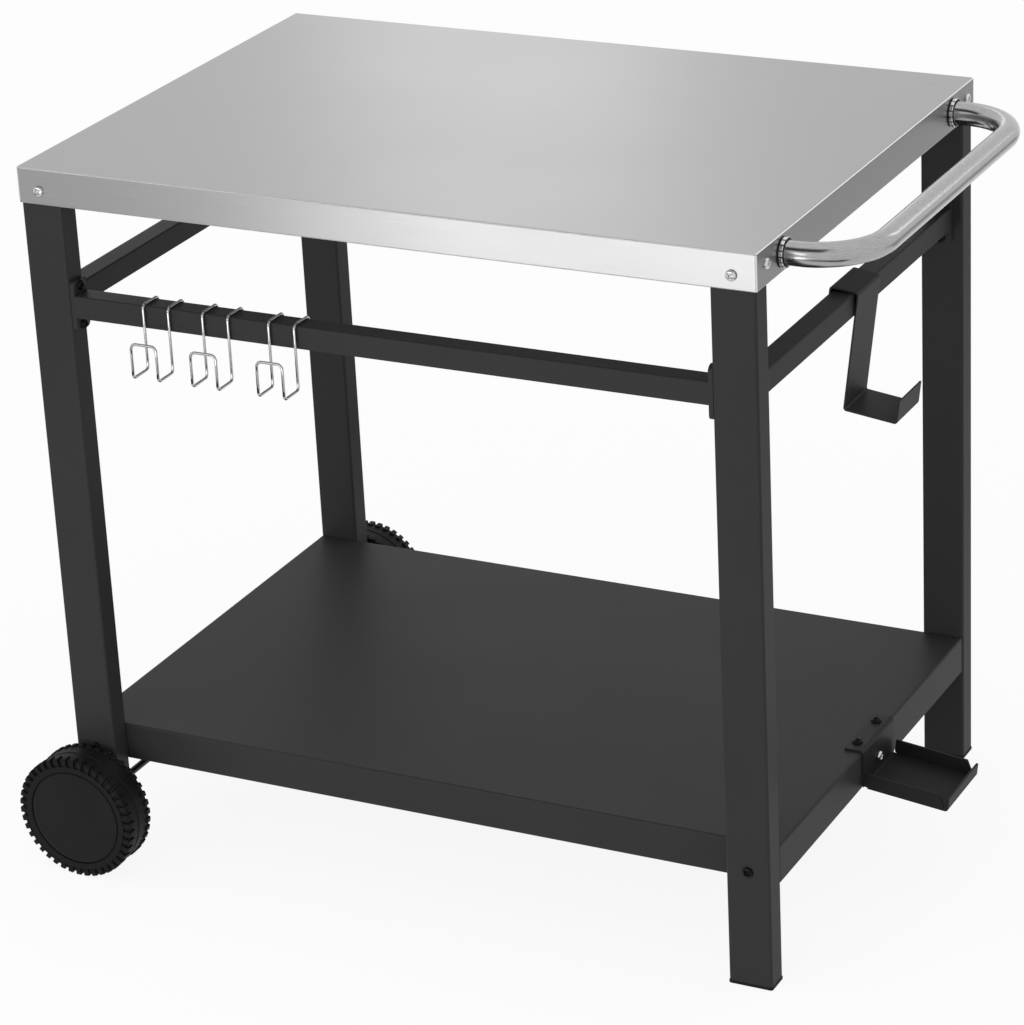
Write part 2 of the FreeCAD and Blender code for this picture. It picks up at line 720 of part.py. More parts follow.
def hub_cap(name, row):
    """Disc that snaps into the wheel's outer face and hides the end of the axle."""
    body = new_body(name)
    face = "(wheel_width - 1)"
    seat = f"({face} - cap_recess)"
    profile = new_sketch(body, "profile", "XZ_Plane")
    polygon(profile, [
        ("0", f"{face} - 0.2"),
        ("0", f"{face} - 0.2 - cap_sheet"),
        ("cap_radius - cap_ledge - 2.2", f"{face} - 0.2 - cap_sheet"),
        ("cap_radius - cap_ledge - 2.2", f"{seat} - cap_spigot"),
        ("cap_radius - cap_ledge - 0.3", f"{seat} - cap_spigot"),
        ("cap_radius - cap_ledge - 0.3", seat),
        ("cap_radius", seat),
        ("cap_radius", f"{face} - 0.3"),
        ("cap_radius - 0.8", f"{face} + 0.5"),
        ("cap_radius - 3", f"{face} + 0.5"),
    ])
    revolve(body, profile)
    return place(body, f"-{LEG_X}", signed(row, WHEEL_Y), "wheel_radius", X_AXIS, "90" if row < 0 else "-90")


def wheel_axle():
    """Plain rod through both short legs, chamfered at its ends."""
    body = new_body("wheel_axle")
    section = new_sketch(body, "section", "XZ_Plane")
    circle(section, ("0", "0"), "axle_diameter")
    pad(body, section, f"2 * {AXLE_TIP}", midplane=True)
    chamfer = body.newObject("PartDesign::Chamfer", "wheel_axle_chamfer")
    chamfer.Base = (chamfer.BaseFeature, [
        f"Edge{index}"
        for index, edge in enumerate(chamfer.BaseFeature.Shape.Edges, start=1)
        if edge.Curve.TypeId == "Part::GeomCircle"
    ])
    chamfer.Size = 0.8
    doc.recompute()
    return place(body, f"-{LEG_X}", z="wheel_radius")


# Hooks: one round wire each, over the rail, down, forward and up to a crossbar

def bent_wire(points, radii, diameter):
    """Wire through points, with a tangent arc of the given radius at each inner point."""
    path = []
    start = points[0]
    for before, corner, after, radius in zip(points, points[1:], points[2:], radii):
        back = (before - corner).normalize()
        ahead = (after - corner).normalize()
        half_turn = (math.pi - back.getAngle(ahead)) / 2
        run = radius * math.tan(half_turn)
        enter = corner + back * run
        leave = corner + ahead * run
        inwards = (back + ahead).normalize()
        middle = corner + inwards * (radius / math.cos(half_turn) - radius)
        path.append(Part.LineSegment(start, enter).toShape())
        path.append(Part.Arc(enter, middle, leave).toShape())
        start = leave
    path.append(Part.LineSegment(start, points[-1]).toShape())
    spine = Part.Wire(path)
    first = (points[1] - points[0]).normalize()
    section = Part.Wire([Part.makeCircle(diameter / 2, points[0], first)])
    return spine.makePipeShell([section], True, False)


def hook(name, centre):
    """Wire hook about its own middle, with the front rail's middle line as its origin."""
    wire = size("wire_diameter")
    spread = size("hook_spread") / 2
    side = size("rail_side / 2 + hook_slack + wire_diameter / 2")
    top = size("rail_side / 2 + running_clearance + wire_diameter / 2")
    low = size("hook_level - rail_level")
    front = -side - size("hook_reach")
    high = low + size("hook_riser")
    left = [
        Vec(-spread, side, top - size("hook_tail")),
        Vec(-spread, side, top),
        Vec(-spread, -side, top),
        Vec(-spread, -side, low),
        Vec(-spread, front, low),
        Vec(-spread, front, high),
    ]
    right = [Vec(-point.x, point.y, point.z) for point in reversed(left)]
    shoulder, bend = size("hook_shoulder_bend"), size("hook_bend")
    one_side = [shoulder, shoulder, bend, bend, bend]
    item = doc.addObject("Part::Feature", name)
    item.Label = name
    item.Shape = bent_wire(left + right, one_side + one_side[::-1], wire)
    return place(item, str(centre), f"-{LEG_Y}", "rail_level")


# Strap that hangs over the right rail and carries a cylinder or a tray of tools

def tank_hanger():
    """Folded strap, tilted until it bears on the rail's upper and lower outer edges."""
    body = new_body("tank_hanger")
    strap = "hanger_sheet"
    floor = "-hanger_drop"
    profile = new_sketch(body, "profile", "XZ_Plane")
    polygon(profile, [
        (f"-hanger_mouth - {strap}", "-hanger_lip"),
        (f"-hanger_mouth - {strap}", strap),
        (strap, strap),
        (strap, f"{floor} + {strap}"),
        (f"hanger_reach - {strap}", f"{floor} + {strap}"),
        (f"hanger_reach - {strap}", f"{floor} + hanger_end_lip"),
        ("hanger_reach", f"{floor} + hanger_end_lip"),
        ("hanger_reach", floor),
        ("0", floor),
        ("0", "0"),
        ("-hanger_mouth", "0"),
        ("-hanger_mouth", "-hanger_lip"),
    ])
    pad(body, profile, "hanger_width", midplane=True)
    outside = [(f"-hanger_mouth - {strap}", strap), (strap, strap), ("hanger_reach", floor), ("0", floor)]
    inside = [
        ("-hanger_mouth", "0"),
        ("0", "0"),
        (strap, f"{floor} + {strap}"),
        (f"hanger_reach - {strap}", f"{floor} + {strap}"),
    ]
    bends(body, outside, inside, strap)
    lean = "(rail_side * sin(hanger_tilt * 1 deg))"
    x = f"{LEG_X} + rail_side / 2 + {lean} * cos(hanger_tilt * 1 deg) + 2 * running_clearance"
    z = f"{RAIL_TOP} - {lean} * sin(hanger_tilt * 1 deg) + 2 * running_clearance"
    return place(body, x, "hanger_offset", z, Y_AXIS, "hanger_tilt")


# Bracket on the shelf's end: a tab, a face, a drooping tray with two cheeks and an end lip

def drooped(along, up):
    """Place in the bracket's tray, which droops from the foot of its face."""
    turn = "(bracket_droop * 1 deg)"
    x = f"({along}) * cos{turn} + ({up}) * sin{turn}"
    z = f"({up}) * cos{turn} - ({along}) * sin{turn} - bracket_face"
    return x, z


def tank_bracket():
    """Folded bracket about the upper edge of the shelf's right end."""
    body = new_body("tank_bracket")
    gauge = "bracket_sheet"
    angle = new_sketch(body, "angle", "XZ_Plane")
    polygon(angle, [
        ("-bracket_tab", "0"),
        ("0", "0"),
        ("0", "-bracket_face"),
        (gauge, "-bracket_face"),
        (gauge, gauge),
        ("-bracket_tab", gauge),
    ])
    pad(body, angle, "bracket_width", midplane=True)
    droop = {"turn": "-bracket_droop", "shift": ("0", "-bracket_face")}
    tray = new_sketch(body, "tray", "XZ_Plane", **droop)
    polygon(tray, [
        ("0", "0"),
        ("bracket_reach", "0"),
        ("bracket_reach", "bracket_end_lip"),
        (f"bracket_reach - {gauge}", "bracket_end_lip"),
        (f"bracket_reach - {gauge}", gauge),
        ("0", gauge),
    ])
    pad(body, tray, "bracket_width", midplane=True)
    turn = "(bracket_droop * 1 deg)"
    foot = f"{gauge} * (1 - sin{turn}) / cos{turn}"
    outside = [(gauge, gauge), ("0", "-bracket_face"), drooped("bracket_reach", "0")]
    inside = [("0", "0"), drooped(foot, gauge), drooped(f"bracket_reach - {gauge}", gauge)]
    bends(body, outside, inside, gauge)
    for side in (-1, 1):
        name = "near" if side < 0 else "far"
        start = signed(-side, "bracket_width / 2")
        cheek = new_sketch(body, name + "_cheek", "XZ_Plane", lift=start, **droop)
        polygon(cheek, [
            (f"{gauge} + 1.5", f"{gauge} / 2"),
            ("bracket_wall_length + bracket_wall_cut", f"{gauge} / 2"),
            ("bracket_wall_length + bracket_wall_cut", "bracket_wall_cut"),
            ("bracket_wall_length", "bracket_wall"),
            (f"{gauge} + 1.5", "bracket_wall"),
        ])
        pad(body, cheek, gauge, reverse=side < 0)
        relief = new_sketch(body, name + "_relief", "XZ_Plane", lift=start, **droop)
        circle(relief, (f"{gauge} + 1.6", "bracket_relief / 4"), "bracket_relief")
        pocket(body, relief, gauge, reverse=side > 0)
    top = new_sketch(body, "tab_holes", "XY_Plane")
    for side in (-1, 1):
        circle(top, ("-bracket_screw_inset", signed(side, "bracket_screw_spacing / 2")), BOLT_HOLE)
    pocket(body, top, midplane=True)
    face = new_sketch(body, "face_hole", "YZ_Plane")
    circle(face, ("0", "-bracket_side_screw_drop"), BOLT_HOLE)
    pocket(body, face, f"4 * {gauge}", midplane=True)
    return place(body, "shelf_length / 2", "bracket_offset", "shelf_level")


# Fasteners: identical ones share a node, as separate solids

def pan_bolt(head, head_height, shank, length):
    """Domed head above z = 0 and a plain shank below it."""
    rim = 0.35 * head_height
    crown = 0.12 * head
    shoulder = Vec(head / 2, 0, rim)
    top = Vec(crown, 0, head_height)
    outline = [
        Part.LineSegment(Vec(0, 0, -length), Vec(shank / 2, 0, -length)),
        Part.LineSegment(Vec(shank / 2, 0, -length), Vec(shank / 2, 0, 0)),
        Part.LineSegment(Vec(shank / 2, 0, 0), Vec(head / 2, 0, 0)),
        Part.LineSegment(Vec(head / 2, 0, 0), shoulder),
        Part.Arc(shoulder, Vec(0.34 * head, 0, 0.8 * head_height), top),
        Part.LineSegment(top, Vec(0, 0, head_height)),
        Part.LineSegment(Vec(0, 0, head_height), Vec(0, 0, -length)),
    ]
    face = Part.Face(Part.Wire([line.toShape() for line in outline]))
    return face.revolve(Vec(), Z_AXIS, 360)


def hex_nut(flats, height, bore):
    """Hexagonal nut standing on z = 0."""
    radius = flats / math.sqrt(3)
    corners = [
        Vec(radius * math.cos(math.radians(60 * turn)), radius * math.sin(math.radians(60 * turn)), 0)
        for turn in range(7)
    ]
    prism = Part.Face(Part.makePolygon(corners)).extrude(Vec(0, 0, height))
    return prism.cut(Part.makeCylinder(bore / 2, height))


def fastener_group(name, shape, places):
    """One node of like fasteners; each place is a point and the way its head faces."""
    shift = Vec(size("table_shift"), 0, 0)
    solids = []
    for point, facing in places:
        solid = shape.copy()
        solid.Placement = FreeCAD.Placement(point + shift, FreeCAD.Rotation(Z_AXIS, facing))
        solids.append(solid)
    item = doc.addObject("Part::Feature", name)
    item.Label = name
    item.Shape = Part.makeCompound(solids)
    return item


def fasteners():
    """All bolts, screws and nuts, placed from the same sizes as the holes they fill."""
    head, head_height = size("bolt_head"), size("bolt_head_height")
    shank, gauge = size("bolt_diameter"), size("nut_height")
    bore = shank + 4 * size("running_clearance")
    nut = hex_nut(size("nut_flats"), gauge, bore)
    leg_x, leg_y = size(LEG_X), size(LEG_Y)
    half_x, half_y = size(HALF_LENGTH), size(HALF_WIDTH)
    deep, wide = size("leg_depth"), size("leg_width")
    wall, plate = size("leg_wall"), size("plate_sheet")
    corners = [(side, row) for side in (-1, 1) for row in (-1, 1)]
    level = size("table_height")

    screws = []
    for side, row in corners:
        across = half_x - size("skirt_screw_side")
        along = half_y - size("skirt_screw_end")
        facing = Vec(0, row, 0)
        screws.append((Vec(side * across, row * half_y, level - size("skirt_screw_drop")), facing))
        facing = Vec(side, 0, 0)
        screws.append((Vec(side * half_x, row * along, level - size("skirt_screw_end_drop")), facing))
    skirt_length = size("leg_wall + 2 * top_sheet") + 4.5
    made = [fastener_group("tabletop_screws", pan_bolt(head, head_height, shank, skirt_length), screws)]

    bolts = []
    nuts = []
    for offset in (-1, 1):
        z = size("rail_level") + offset * size("plate_bolt_offset")
        for side, row in corners:
            seat = leg_y - deep / 2 - plate
            bolts.append((Vec(side * leg_x, row * seat, z), Vec(0, -row, 0)))
            nuts.append((Vec(side * leg_x, row * (seat + plate + wall), z), Vec(0, row, 0)))
        for side in (-1, 1):
            seat = leg_x - wide / 2 - plate
            bolts.append((Vec(side * seat, -leg_y, z), Vec(-side, 0, 0)))
            nuts.append((Vec(side * (seat + plate + wall), -leg_y, z), Vec(side, 0, 0)))
    rail_bolt = pan_bolt(head, head_height, shank, plate + wall + gauge + 1)
    made.append(fastener_group("rail_bolts", rail_bolt, bolts))
    made.append(fastener_group("rail_nuts", nut, nuts))

    bolts = []
    nuts = []
    inner = leg_y - deep / 2 - size("shelf_sheet")
    for side, row in corners:
        z = size("shelf_bolt_level")
        bolts.append((Vec(side * leg_x, row * (leg_y + deep / 2), z), Vec(0, row, 0)))
        nuts.append((Vec(side * leg_x, row * inner, z), Vec(0, -row, 0)))
    shelf_bolt = pan_bolt(head, head_height, shank, deep + size("shelf_sheet") + gauge + 2)
    made.append(fastener_group("shelf_bolts", shelf_bolt, bolts))
    made.append(fastener_group("shelf_nuts", nut, nuts))

    top = size("shelf_level + bracket_sheet")
    across = size("shelf_length / 2 - bracket_screw_inset")
    middle, spread = size("bracket_offset"), size("bracket_screw_spacing / 2")
    stack = size("shelf_sheet + bracket_sheet")
    screws = [(Vec(across, middle + sign * spread, top), Z_AXIS) for sign in (-1, 1)]
    nuts = [(Vec(across, middle + sign * spread, top - stack), -Z_AXIS) for sign in (-1, 1)]
    end = size("shelf_length / 2 + bracket_sheet")
    drop = size("shelf_level - bracket_side_screw_drop")
    nuts.append((Vec(end - stack, middle, drop), -X_AXIS))
    bracket_bolt = pan_bolt(head, head_height, shank, stack + gauge + 1.5)
    made.append(fastener_group("bracket_top_screws", bracket_bolt, screws))
    made.append(fastener_group("bracket_side_screw", bracket_bolt, [(Vec(end, middle, drop), X_AXIS)]))
    made.append(fastener_group("bracket_nuts", nut, nuts))

    inside = half_x - size("top_sheet")
    z = size(HANDLE_LEVEL)
    grip = [(Vec(inside, sign * size("handle_spacing / 2"), z), -X_AXIS) for sign in (-1, 1)]
    made.append(fastener_group("handle_bolts", pan_bolt(head, head_height, shank, 15), grip))
    return made


# The whole table

parts = [tabletop(), stiffener("top_stiffener_left", -1), stiffener("top_stiffener_right", 1)]
for side, side_name in ((-1, "left"), (1, "right")):
    for row, row_name in ((-1, "front"), (1, "back")):
        corner = f"{row_name}_{side_name}"
        parts.append(leg("leg_" + corner, side, row))
        parts.append(leg_cap("leg_cap_" + corner, side, row))
    span = f"2 * ({LEG_Y} - leg_depth / 2)"
    parts.append(rail(f"{side_name}_rail", span, signed(side, LEG_X), "0", True))
parts.append(rail("front_rail", f"2 * ({LEG_X} - leg_width / 2)", "0", f"-{LEG_Y}", False))
parts.append(lower_shelf())
parts.append(handle_tube())
for row, row_name in ((-1, "front"), (1, "back")):
    y = signed(row, "handle_spacing / 2")
    parts.append(ring("handle_collar_" + row_name, "collar_diameter", "handle_diameter + 2 * running_clearance",
                      "collar_length", HALF_LENGTH, y, HANDLE_LEVEL, Y_AXIS, "90", COLLAR_NOTCHES))
    parts.append(ring("handle_plug_" + row_name, "handle_diameter - 2 * handle_wall - 2 * running_clearance",
                      "bolt_diameter + 4 * running_clearance", "plug_length", HALF_LENGTH, y, HANDLE_LEVEL,
                      Y_AXIS, "90"))
    parts.append(wheel("wheel_" + row_name, row))
    parts.append(hub_cap("hub_cap_" + row_name, row))
    face_y = signed(row, f"{WHEEL_Y} - wheel_gap")
    turn = "90" if row < 0 else "-90"
    parts.append(ring("wheel_spacer_" + row_name, "18", "axle_diameter + 4 * running_clearance",
                      "wheel_gap - 0.3", f"-{LEG_X}", face_y, "wheel_radius", X_AXIS, turn))
    nut_y = signed(row, f"{WHEEL_Y} + boss_length + 0.4")
    parts.append(ring("axle_push_nut_" + row_name, "18", "axle_diameter + 2 * running_clearance",
                      "1.6", f"-{LEG_X}", nut_y, "wheel_radius", X_AXIS, turn))
parts.append(wheel_axle())
for name, centre in HOOK_PLACES.items():
    parts.append(hook(name, centre))
parts.append(tank_hanger())
parts.append(tank_bracket())
parts += fasteners()
doc.recompute()

# Checks and export

for item in doc.Objects:
    faults = [state for state in item.State if state in ("Invalid", "Error")]
    if faults:
        raise RuntimeError(f"{item.Label} is {faults}")
for part in parts:
    if part.Shape.isNull() or not part.Shape.isValid():
        raise RuntimeError(part.Label + " has no valid shape")

os.makedirs("parts", exist_ok=True)
whole = FreeCAD.BoundBox()
for part in parts:
    whole.add(part.Shape.BoundBox)
    part.Shape.exportStep(os.path.join("parts", part.Label + ".step"))
    print(f"{part.Label}: {len(part.Shape.Solids)} solids, {part.Shape.Volume / 1000:.1f} cm3")
print(len(parts), "nodes")
print(f"x {whole.XMin:.2f} to {whole.XMax:.2f}, y {whole.YMin:.2f} to {whole.YMax:.2f}, "
      f"z {whole.ZMin:.2f} to {whole.ZMax:.2f}")
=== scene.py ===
"""Outdoor pizza oven table: folded stainless top on black tube legs, with shelf, handle and wheels.

All lengths are in metres. Right is the handle's end, the hooks are in front, and the floor is at 0.
"""

import json
import math

import bmesh
import bpy
import numpy as np
from bpy.props import FloatProperty, FloatVectorProperty, IntProperty, PointerProperty
from bpy.types import Operator, Panel, PropertyGroup
from mathutils import Matrix, Vector


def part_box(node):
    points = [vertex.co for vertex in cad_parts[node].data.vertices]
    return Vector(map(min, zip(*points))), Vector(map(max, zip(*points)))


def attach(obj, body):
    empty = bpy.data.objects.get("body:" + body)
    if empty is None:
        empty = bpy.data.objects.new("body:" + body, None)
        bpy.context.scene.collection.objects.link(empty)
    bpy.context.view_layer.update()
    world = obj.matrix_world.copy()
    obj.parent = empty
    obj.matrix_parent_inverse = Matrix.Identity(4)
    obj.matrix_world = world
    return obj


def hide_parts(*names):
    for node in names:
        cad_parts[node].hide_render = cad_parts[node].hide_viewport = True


bl_info = {
    "name": "Outdoor oven table",
    "version": (1, 0, 0),
    "blender": (4, 5, 0),
    "location": "3D View > Sidebar > Oven table",
    "description": "Dresses the frame of a wheeled outdoor oven table and sets its studio",
    "category": "Object",
}

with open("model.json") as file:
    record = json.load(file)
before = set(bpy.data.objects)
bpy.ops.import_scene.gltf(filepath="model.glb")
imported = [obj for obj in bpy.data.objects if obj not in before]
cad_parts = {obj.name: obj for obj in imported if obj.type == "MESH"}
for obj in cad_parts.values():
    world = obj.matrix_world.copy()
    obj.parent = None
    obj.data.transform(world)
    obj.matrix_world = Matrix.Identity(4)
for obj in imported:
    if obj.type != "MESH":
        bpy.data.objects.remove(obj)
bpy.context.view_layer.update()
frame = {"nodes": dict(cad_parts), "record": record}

MM = 0.001
SHARP_ANGLE = math.radians(38)
X_DIRECTION = np.array([1.0, 0.0, 0.0])
Y_DIRECTION = np.array([0.0, 1.0, 0.0])
Z_DIRECTION = np.array([0.0, 0.0, 1.0])
HEAD_WIDTH = 11.5 * MM
HEAD_HEIGHT = 3.6 * MM
SHANK_WIDTH = 6 * MM


def corners_of(node):
    """Lowest and highest corner of a node as two arrays."""
    low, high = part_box(node)
    return np.array(low), np.array(high)


def middle_of(node):
    """Middle of a node's box."""
    low, high = corners_of(node)
    return (low + high) / 2


# Sizes and colours that a user may change

def millimetres(name, description, default, low, high):
    """Length that a user may change, given in millimetres."""
    return FloatProperty(
        name=name, description=description, default=default * MM, min=low * MM, max=high * MM, unit="LENGTH")


def whole_number(name, description, default, low, high):
    """Count that a user may change."""
    return IntProperty(name=name, description=description, default=default, min=low, max=high)


def rgb(name, description, *default):
    """Colour that a user may change, given as its red, green and blue."""
    return FloatVectorProperty(
        name=name, description=description, subtype="COLOR", size=3, min=0, max=1, default=default)


def watts(name, description, default):
    """Power of a lamp that a user may change, given in watts."""
    return FloatProperty(name=name, description=description, default=default, min=0, max=400, unit="POWER")


class SheetSizes(PropertyGroup):
    """Folded sheet of the top, the shelf and the strap."""

    top_bend: millimetres("Top bend", "Outside radius of the top's long bends", 1.8, 1.2, 8)
    top_corner: millimetres("Top corner", "Radius of the top's upright corners", 2.6, 2.4, 20)
    top_sheet: millimetres("Top sheet", "Thickness of the stainless sheet", 1, 0.6, 2)
    top_hem: millimetres("Hem", "Height of the edge folded back inside the skirt", 12, 4, 30)
    shelf_bend: millimetres("Shelf bend", "Outside radius of the shelf's bends", 2.4, 1.4, 8)
    shelf_corner: millimetres("Shelf corner", "Radius of the shelf's upright corners", 2.5, 2.4, 20)
    shelf_sheet: millimetres("Shelf sheet", "Thickness of the shelf's sheet", 1.2, 0.8, 3)
    strap_sheet: millimetres("Strap sheet", "Thickness of the hanging strap", 2, 1, 4)


class HandleSizes(PropertyGroup):
    """Push handle and the rings at its feet."""

    bend: millimetres("Bend", "Radius of the handle's two bends along the tube's middle", 66, 30, 120)
    ring_notches: whole_number("Ring notches", "Notches round each ring at the handle's feet", 16, 6, 40)


class WheelSizes(PropertyGroup):
    """Moulded wheels."""

    blocks: whole_number("Tread blocks", "Blocks in each of the two rows round the tyre", 42, 12, 80)
    tread_depth: millimetres("Tread depth", "Height of the blocks above the tyre's base", 2, 0.5, 5)
    slot_reach: millimetres("Slot reach", "Length of the slots on the tyre's outer side", 9, 3, 14)


class HookSizes(PropertyGroup):
    """Wire hooks."""

    wire: millimetres("Wire", "Thickness of the wire", 3, 2, 5)
    shoulder_bend: millimetres("Shoulder bend", "Radius of the bends over the rail", 5, 2, 8)
    crook_bend: millimetres("Crook bend", "Radius of the bends at the crook's bottom", 4, 2, 8)
    crossbar_bend: millimetres("Crossbar bend", "Radius of the bends at the crossbar's ends", 6, 2, 10)


class FinishColours(PropertyGroup):
    """Colours of the finishes."""

    stainless: rgb("Brushed stainless", "Colour of the top", 0.345, 0.345, 0.345)
    # Painted highlight along the top's bends, hem fold and upright corners
    fold_highlight: rgb("Polished folds", "Colour of the top's rubbed-bright folds", 0.78, 0.78, 0.78)
    tube: rgb("Handle tube", "Colour of the push handle's tube", 0.385, 0.385, 0.385)
    ring: rgb("Handle rings", "Colour of the rings at the handle's feet", 0.6, 0.6, 0.6)
    # Painted shade in the handle rings' notches, waist and groove; also the axle rod's own black
    gap_shade_and_axle_black: rgb("Dark gaps", "Colour of the rings' gaps and of the blackened axle rod", 0.035, 0.035, 0.035)
    channel: rgb("Galvanised channel", "Colour of the channels below the top", 0.5, 0.51, 0.52)
    coat: rgb("Black powder coat", "Colour of the legs, rails, shelf and strap", 0.028, 0.028, 0.0283)
    bracket: rgb("Bracket coat", "Colour of the small tray bracket", 0.017, 0.017, 0.0172)
    wheel: rgb("Wheel plastic", "Colour of tyres, inserts, spacers and black screws", 0.005, 0.005, 0.0052)
    hub: rgb("Hub plastic", "Colour of the hub discs", 0.006, 0.006, 0.0062)
    zinc: rgb("Zinc", "Colour of nuts, plugs and hidden bolts", 0.5, 0.5, 0.49)
    wire: rgb("Bright wire", "Colour of the wire hooks", 0.43, 0.43, 0.43)
    screw: rgb("Silver screws", "Colour of the skirt's screws and the bracket's face screw", 0.6, 0.6, 0.6)


class StudioSettings(PropertyGroup):
    """Lamps and floor of the studio."""

    surround: FloatProperty(
        name="Surround", description="Light level that the white surround gives to matt surfaces",
        default=0.85, min=0, max=3)
    shadow: FloatProperty(
        name="Floor shadow", description="Share of real shading that shows on the white floor",
        default=0.1, min=0, max=1, subtype="FACTOR")
    back_panel: watts("Back panel", "Power of the tall panel behind the table", 5.4)
    front_panel: watts("Front panel", "Power of the wide panel in front of the table", 3.85)
    foot_strip: watts("Foot strip", "Power of the low strip that lights the handle's feet", 18)
    side_strip: watts("Side strip", "Power of the narrow strip that draws a line along the handle", 4.4)
    top_panel: watts("Top panel", "Power of the panel above the table", 1)


# Surfaces from arrays

class Surface:
    """Grids and end faces gathered into one closed mesh, with a map for every face corner."""

    def __init__(self):
        self.points = []
        self.faces = []
        self.maps = []
        self.count = 0

    def grid(self, points, chart, close_rows=False, close_columns=False):
        """Quads between neighbours of a grid of points; a closed side also joins its end to its start.

        The chart holds the map's two values for each row and column, with one more row or
        column than the points where that side is closed, so that no quad runs backwards.
        """
        rows, columns = points.shape[:2]
        row, column = np.meshgrid(
            np.arange(rows if close_rows else rows - 1),
            np.arange(columns if close_columns else columns - 1), indexing="ij")
        corners = [(row, column), (row + 1, column), (row + 1, column + 1), (row, column + 1)]
        quads = [self.count + (r % rows) * columns + c % columns for r, c in corners]
        self.faces.extend(np.stack(quads, axis=-1).reshape(-1, 4).tolist())
        self.maps.append(np.stack([chart[r, c] for r, c in corners], axis=2).reshape(-1, 2))
        first = self.count
        self.points.append(points.reshape(-1, 3))
        self.count += rows * columns
        return first

    def cap(self, indices, values):
        """One flat face over a ring of points that are already there."""
        self.faces.append(list(map(int, indices)))
        self.maps.append(np.asarray(values, dtype=float))

    def bar(self, points, chart, first_end, last_end):
        """Grid closed along its columns, with a flat face over its first row and its last.

        The two ends hold the map's values there. The last face runs the other way round, so
        that both point away from the grid's inside.
        """
        rows, columns = points.shape[:2]
        first = self.grid(points, chart, close_columns=True)
        self.cap(first + np.arange(columns), first_end)
        self.cap(first + (rows - 1) * columns + np.arange(columns)[::-1], last_end[::-1])

    def piece(self, name, node, body, slot, finish=None, sharp=SHARP_ANGLE, marks=None):
        """Finished object that replaces a node, rides on a body and is smooth up to the sharp angle.

        Its faces point outwards. The finish is the slot's own where none is given. Painted light
        holds 0 to 1 for each point and says how far the finish's second colour shows there: the
        painted highlight on the top's folds, the painted shade in the handle rings.
        """
        mesh = bpy.data.meshes.new(name)
        mesh.from_pydata(np.concatenate(self.points).tolist(), [], self.faces)
        layer = mesh.uv_layers.new(name="unrolled")
        layer.data.foreach_set("uv", np.concatenate(self.maps).astype(np.float32).ravel())
        # Painted light at each point: the share of painted highlight on the top's folds, of painted shade on
        # the handle rings
        if marks is not None:
            stored = mesh.attributes.new("marks", "FLOAT", "POINT")
            stored.data.foreach_set("value", np.asarray(marks, dtype=np.float32).ravel())
        work = bmesh.new()
        work.from_mesh(mesh)
        if work.calc_volume(signed=True) < 0:
            bmesh.ops.reverse_faces(work, faces=work.faces)
        work.to_mesh(mesh)
        work.free()
        mesh.shade_smooth()
        mesh.set_sharp_from_angle(angle=sharp)
        mesh.materials.append(finish_named(finish or slot))
        item = bpy.data.objects.new(name, mesh)
        bpy.context.scene.collection.objects.link(item)
        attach(item, body)
        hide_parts(node)


def unit(vector):
    """The same direction with a length of 1."""
    return vector / np.linalg.norm(vector)


def running_length(points):
    """Distance along a line of points, from its first point."""
    steps = np.linalg.norm(np.diff(points, axis=0), axis=1)
    return np.concatenate([[0.0], np.cumsum(steps)])


def tangents(route):
    """Direction of a line at each of its points: the step between its neighbours, with a length of 1."""
    steps = np.gradient(route, axis=0)
    return steps / np.linalg.norm(steps, axis=1)[:, None]


def flat_map(rows, columns):
    """Map of a grid of points, from the lengths along its rows and its columns."""
    return np.stack(np.meshgrid(rows, columns, indexing="ij"), axis=-1)


def rounded_route(corners, radii, arc_points=9):
    """Line through corners, with an arc of the given radius that touches both runs at each one.

    Each arc starts radius times the tangent of half its turn before the corner. Its points are
    the centre plus the radius along a direction that turns evenly between the two ends.
    """
    corners = np.asarray(corners, dtype=float)
    pieces = [corners[:1]]
    for before, corner, after, radius in zip(corners, corners[1:], corners[2:], radii):
        back = unit(before - corner)
        ahead = unit(after - corner)
        half_turn = (math.pi - math.acos(float(np.clip(back @ ahead, -1, 1)))) / 2
        centre = corner + unit(back + ahead) * radius / math.cos(half_turn)
        start = corner + back * radius * math.tan(half_turn) - centre
        end = corner + ahead * radius * math.tan(half_turn) - centre
        share = np.linspace(0, 1, arc_points)[:, None]
        turn = 2 * half_turn
        arc = (np.sin((1 - share) * turn) * start + np.sin(share * turn) * end) / math.sin(turn)
        pieces.append(centre + arc)
    pieces.append(corners[-1:])
    return np.concatenate(pieces)


def subdivided(route, longest):
    """The same line with points added evenly on runs longer than the given length."""
    steps = np.linalg.norm(np.diff(route, axis=0), axis=1)
    counts = np.maximum(1, np.ceil(steps / longest).astype(int))
    starts = np.repeat(np.arange(len(steps)), counts)
    firsts = np.repeat(np.cumsum(counts) - counts, counts)
    share = ((np.arange(counts.sum()) - firsts) / counts[starts])[:, None]
    body = route[starts] * (1 - share) + route[starts + 1] * share
    return np.concatenate([body, route[-1:]])


def carried(route, profile, side, scale=None):
    """Profile carried along a route: point = route + a * side + b * (tangent x side).

    The profile holds (a, b) pairs, the side is a direction across the route at each of its
    points, and the scale shrinks the profile where an end is rounded.
    """
    other = np.cross(tangents(route), side)
    if scale is None:
        scale = np.ones(len(route))
    a = profile[:, 0][None, :, None] * scale[:, None, None]
    b = profile[:, 1][None, :, None] * scale[:, None, None]
    return route[:, None, :] + a * side[:, None, :] + b * other[:, None, :]


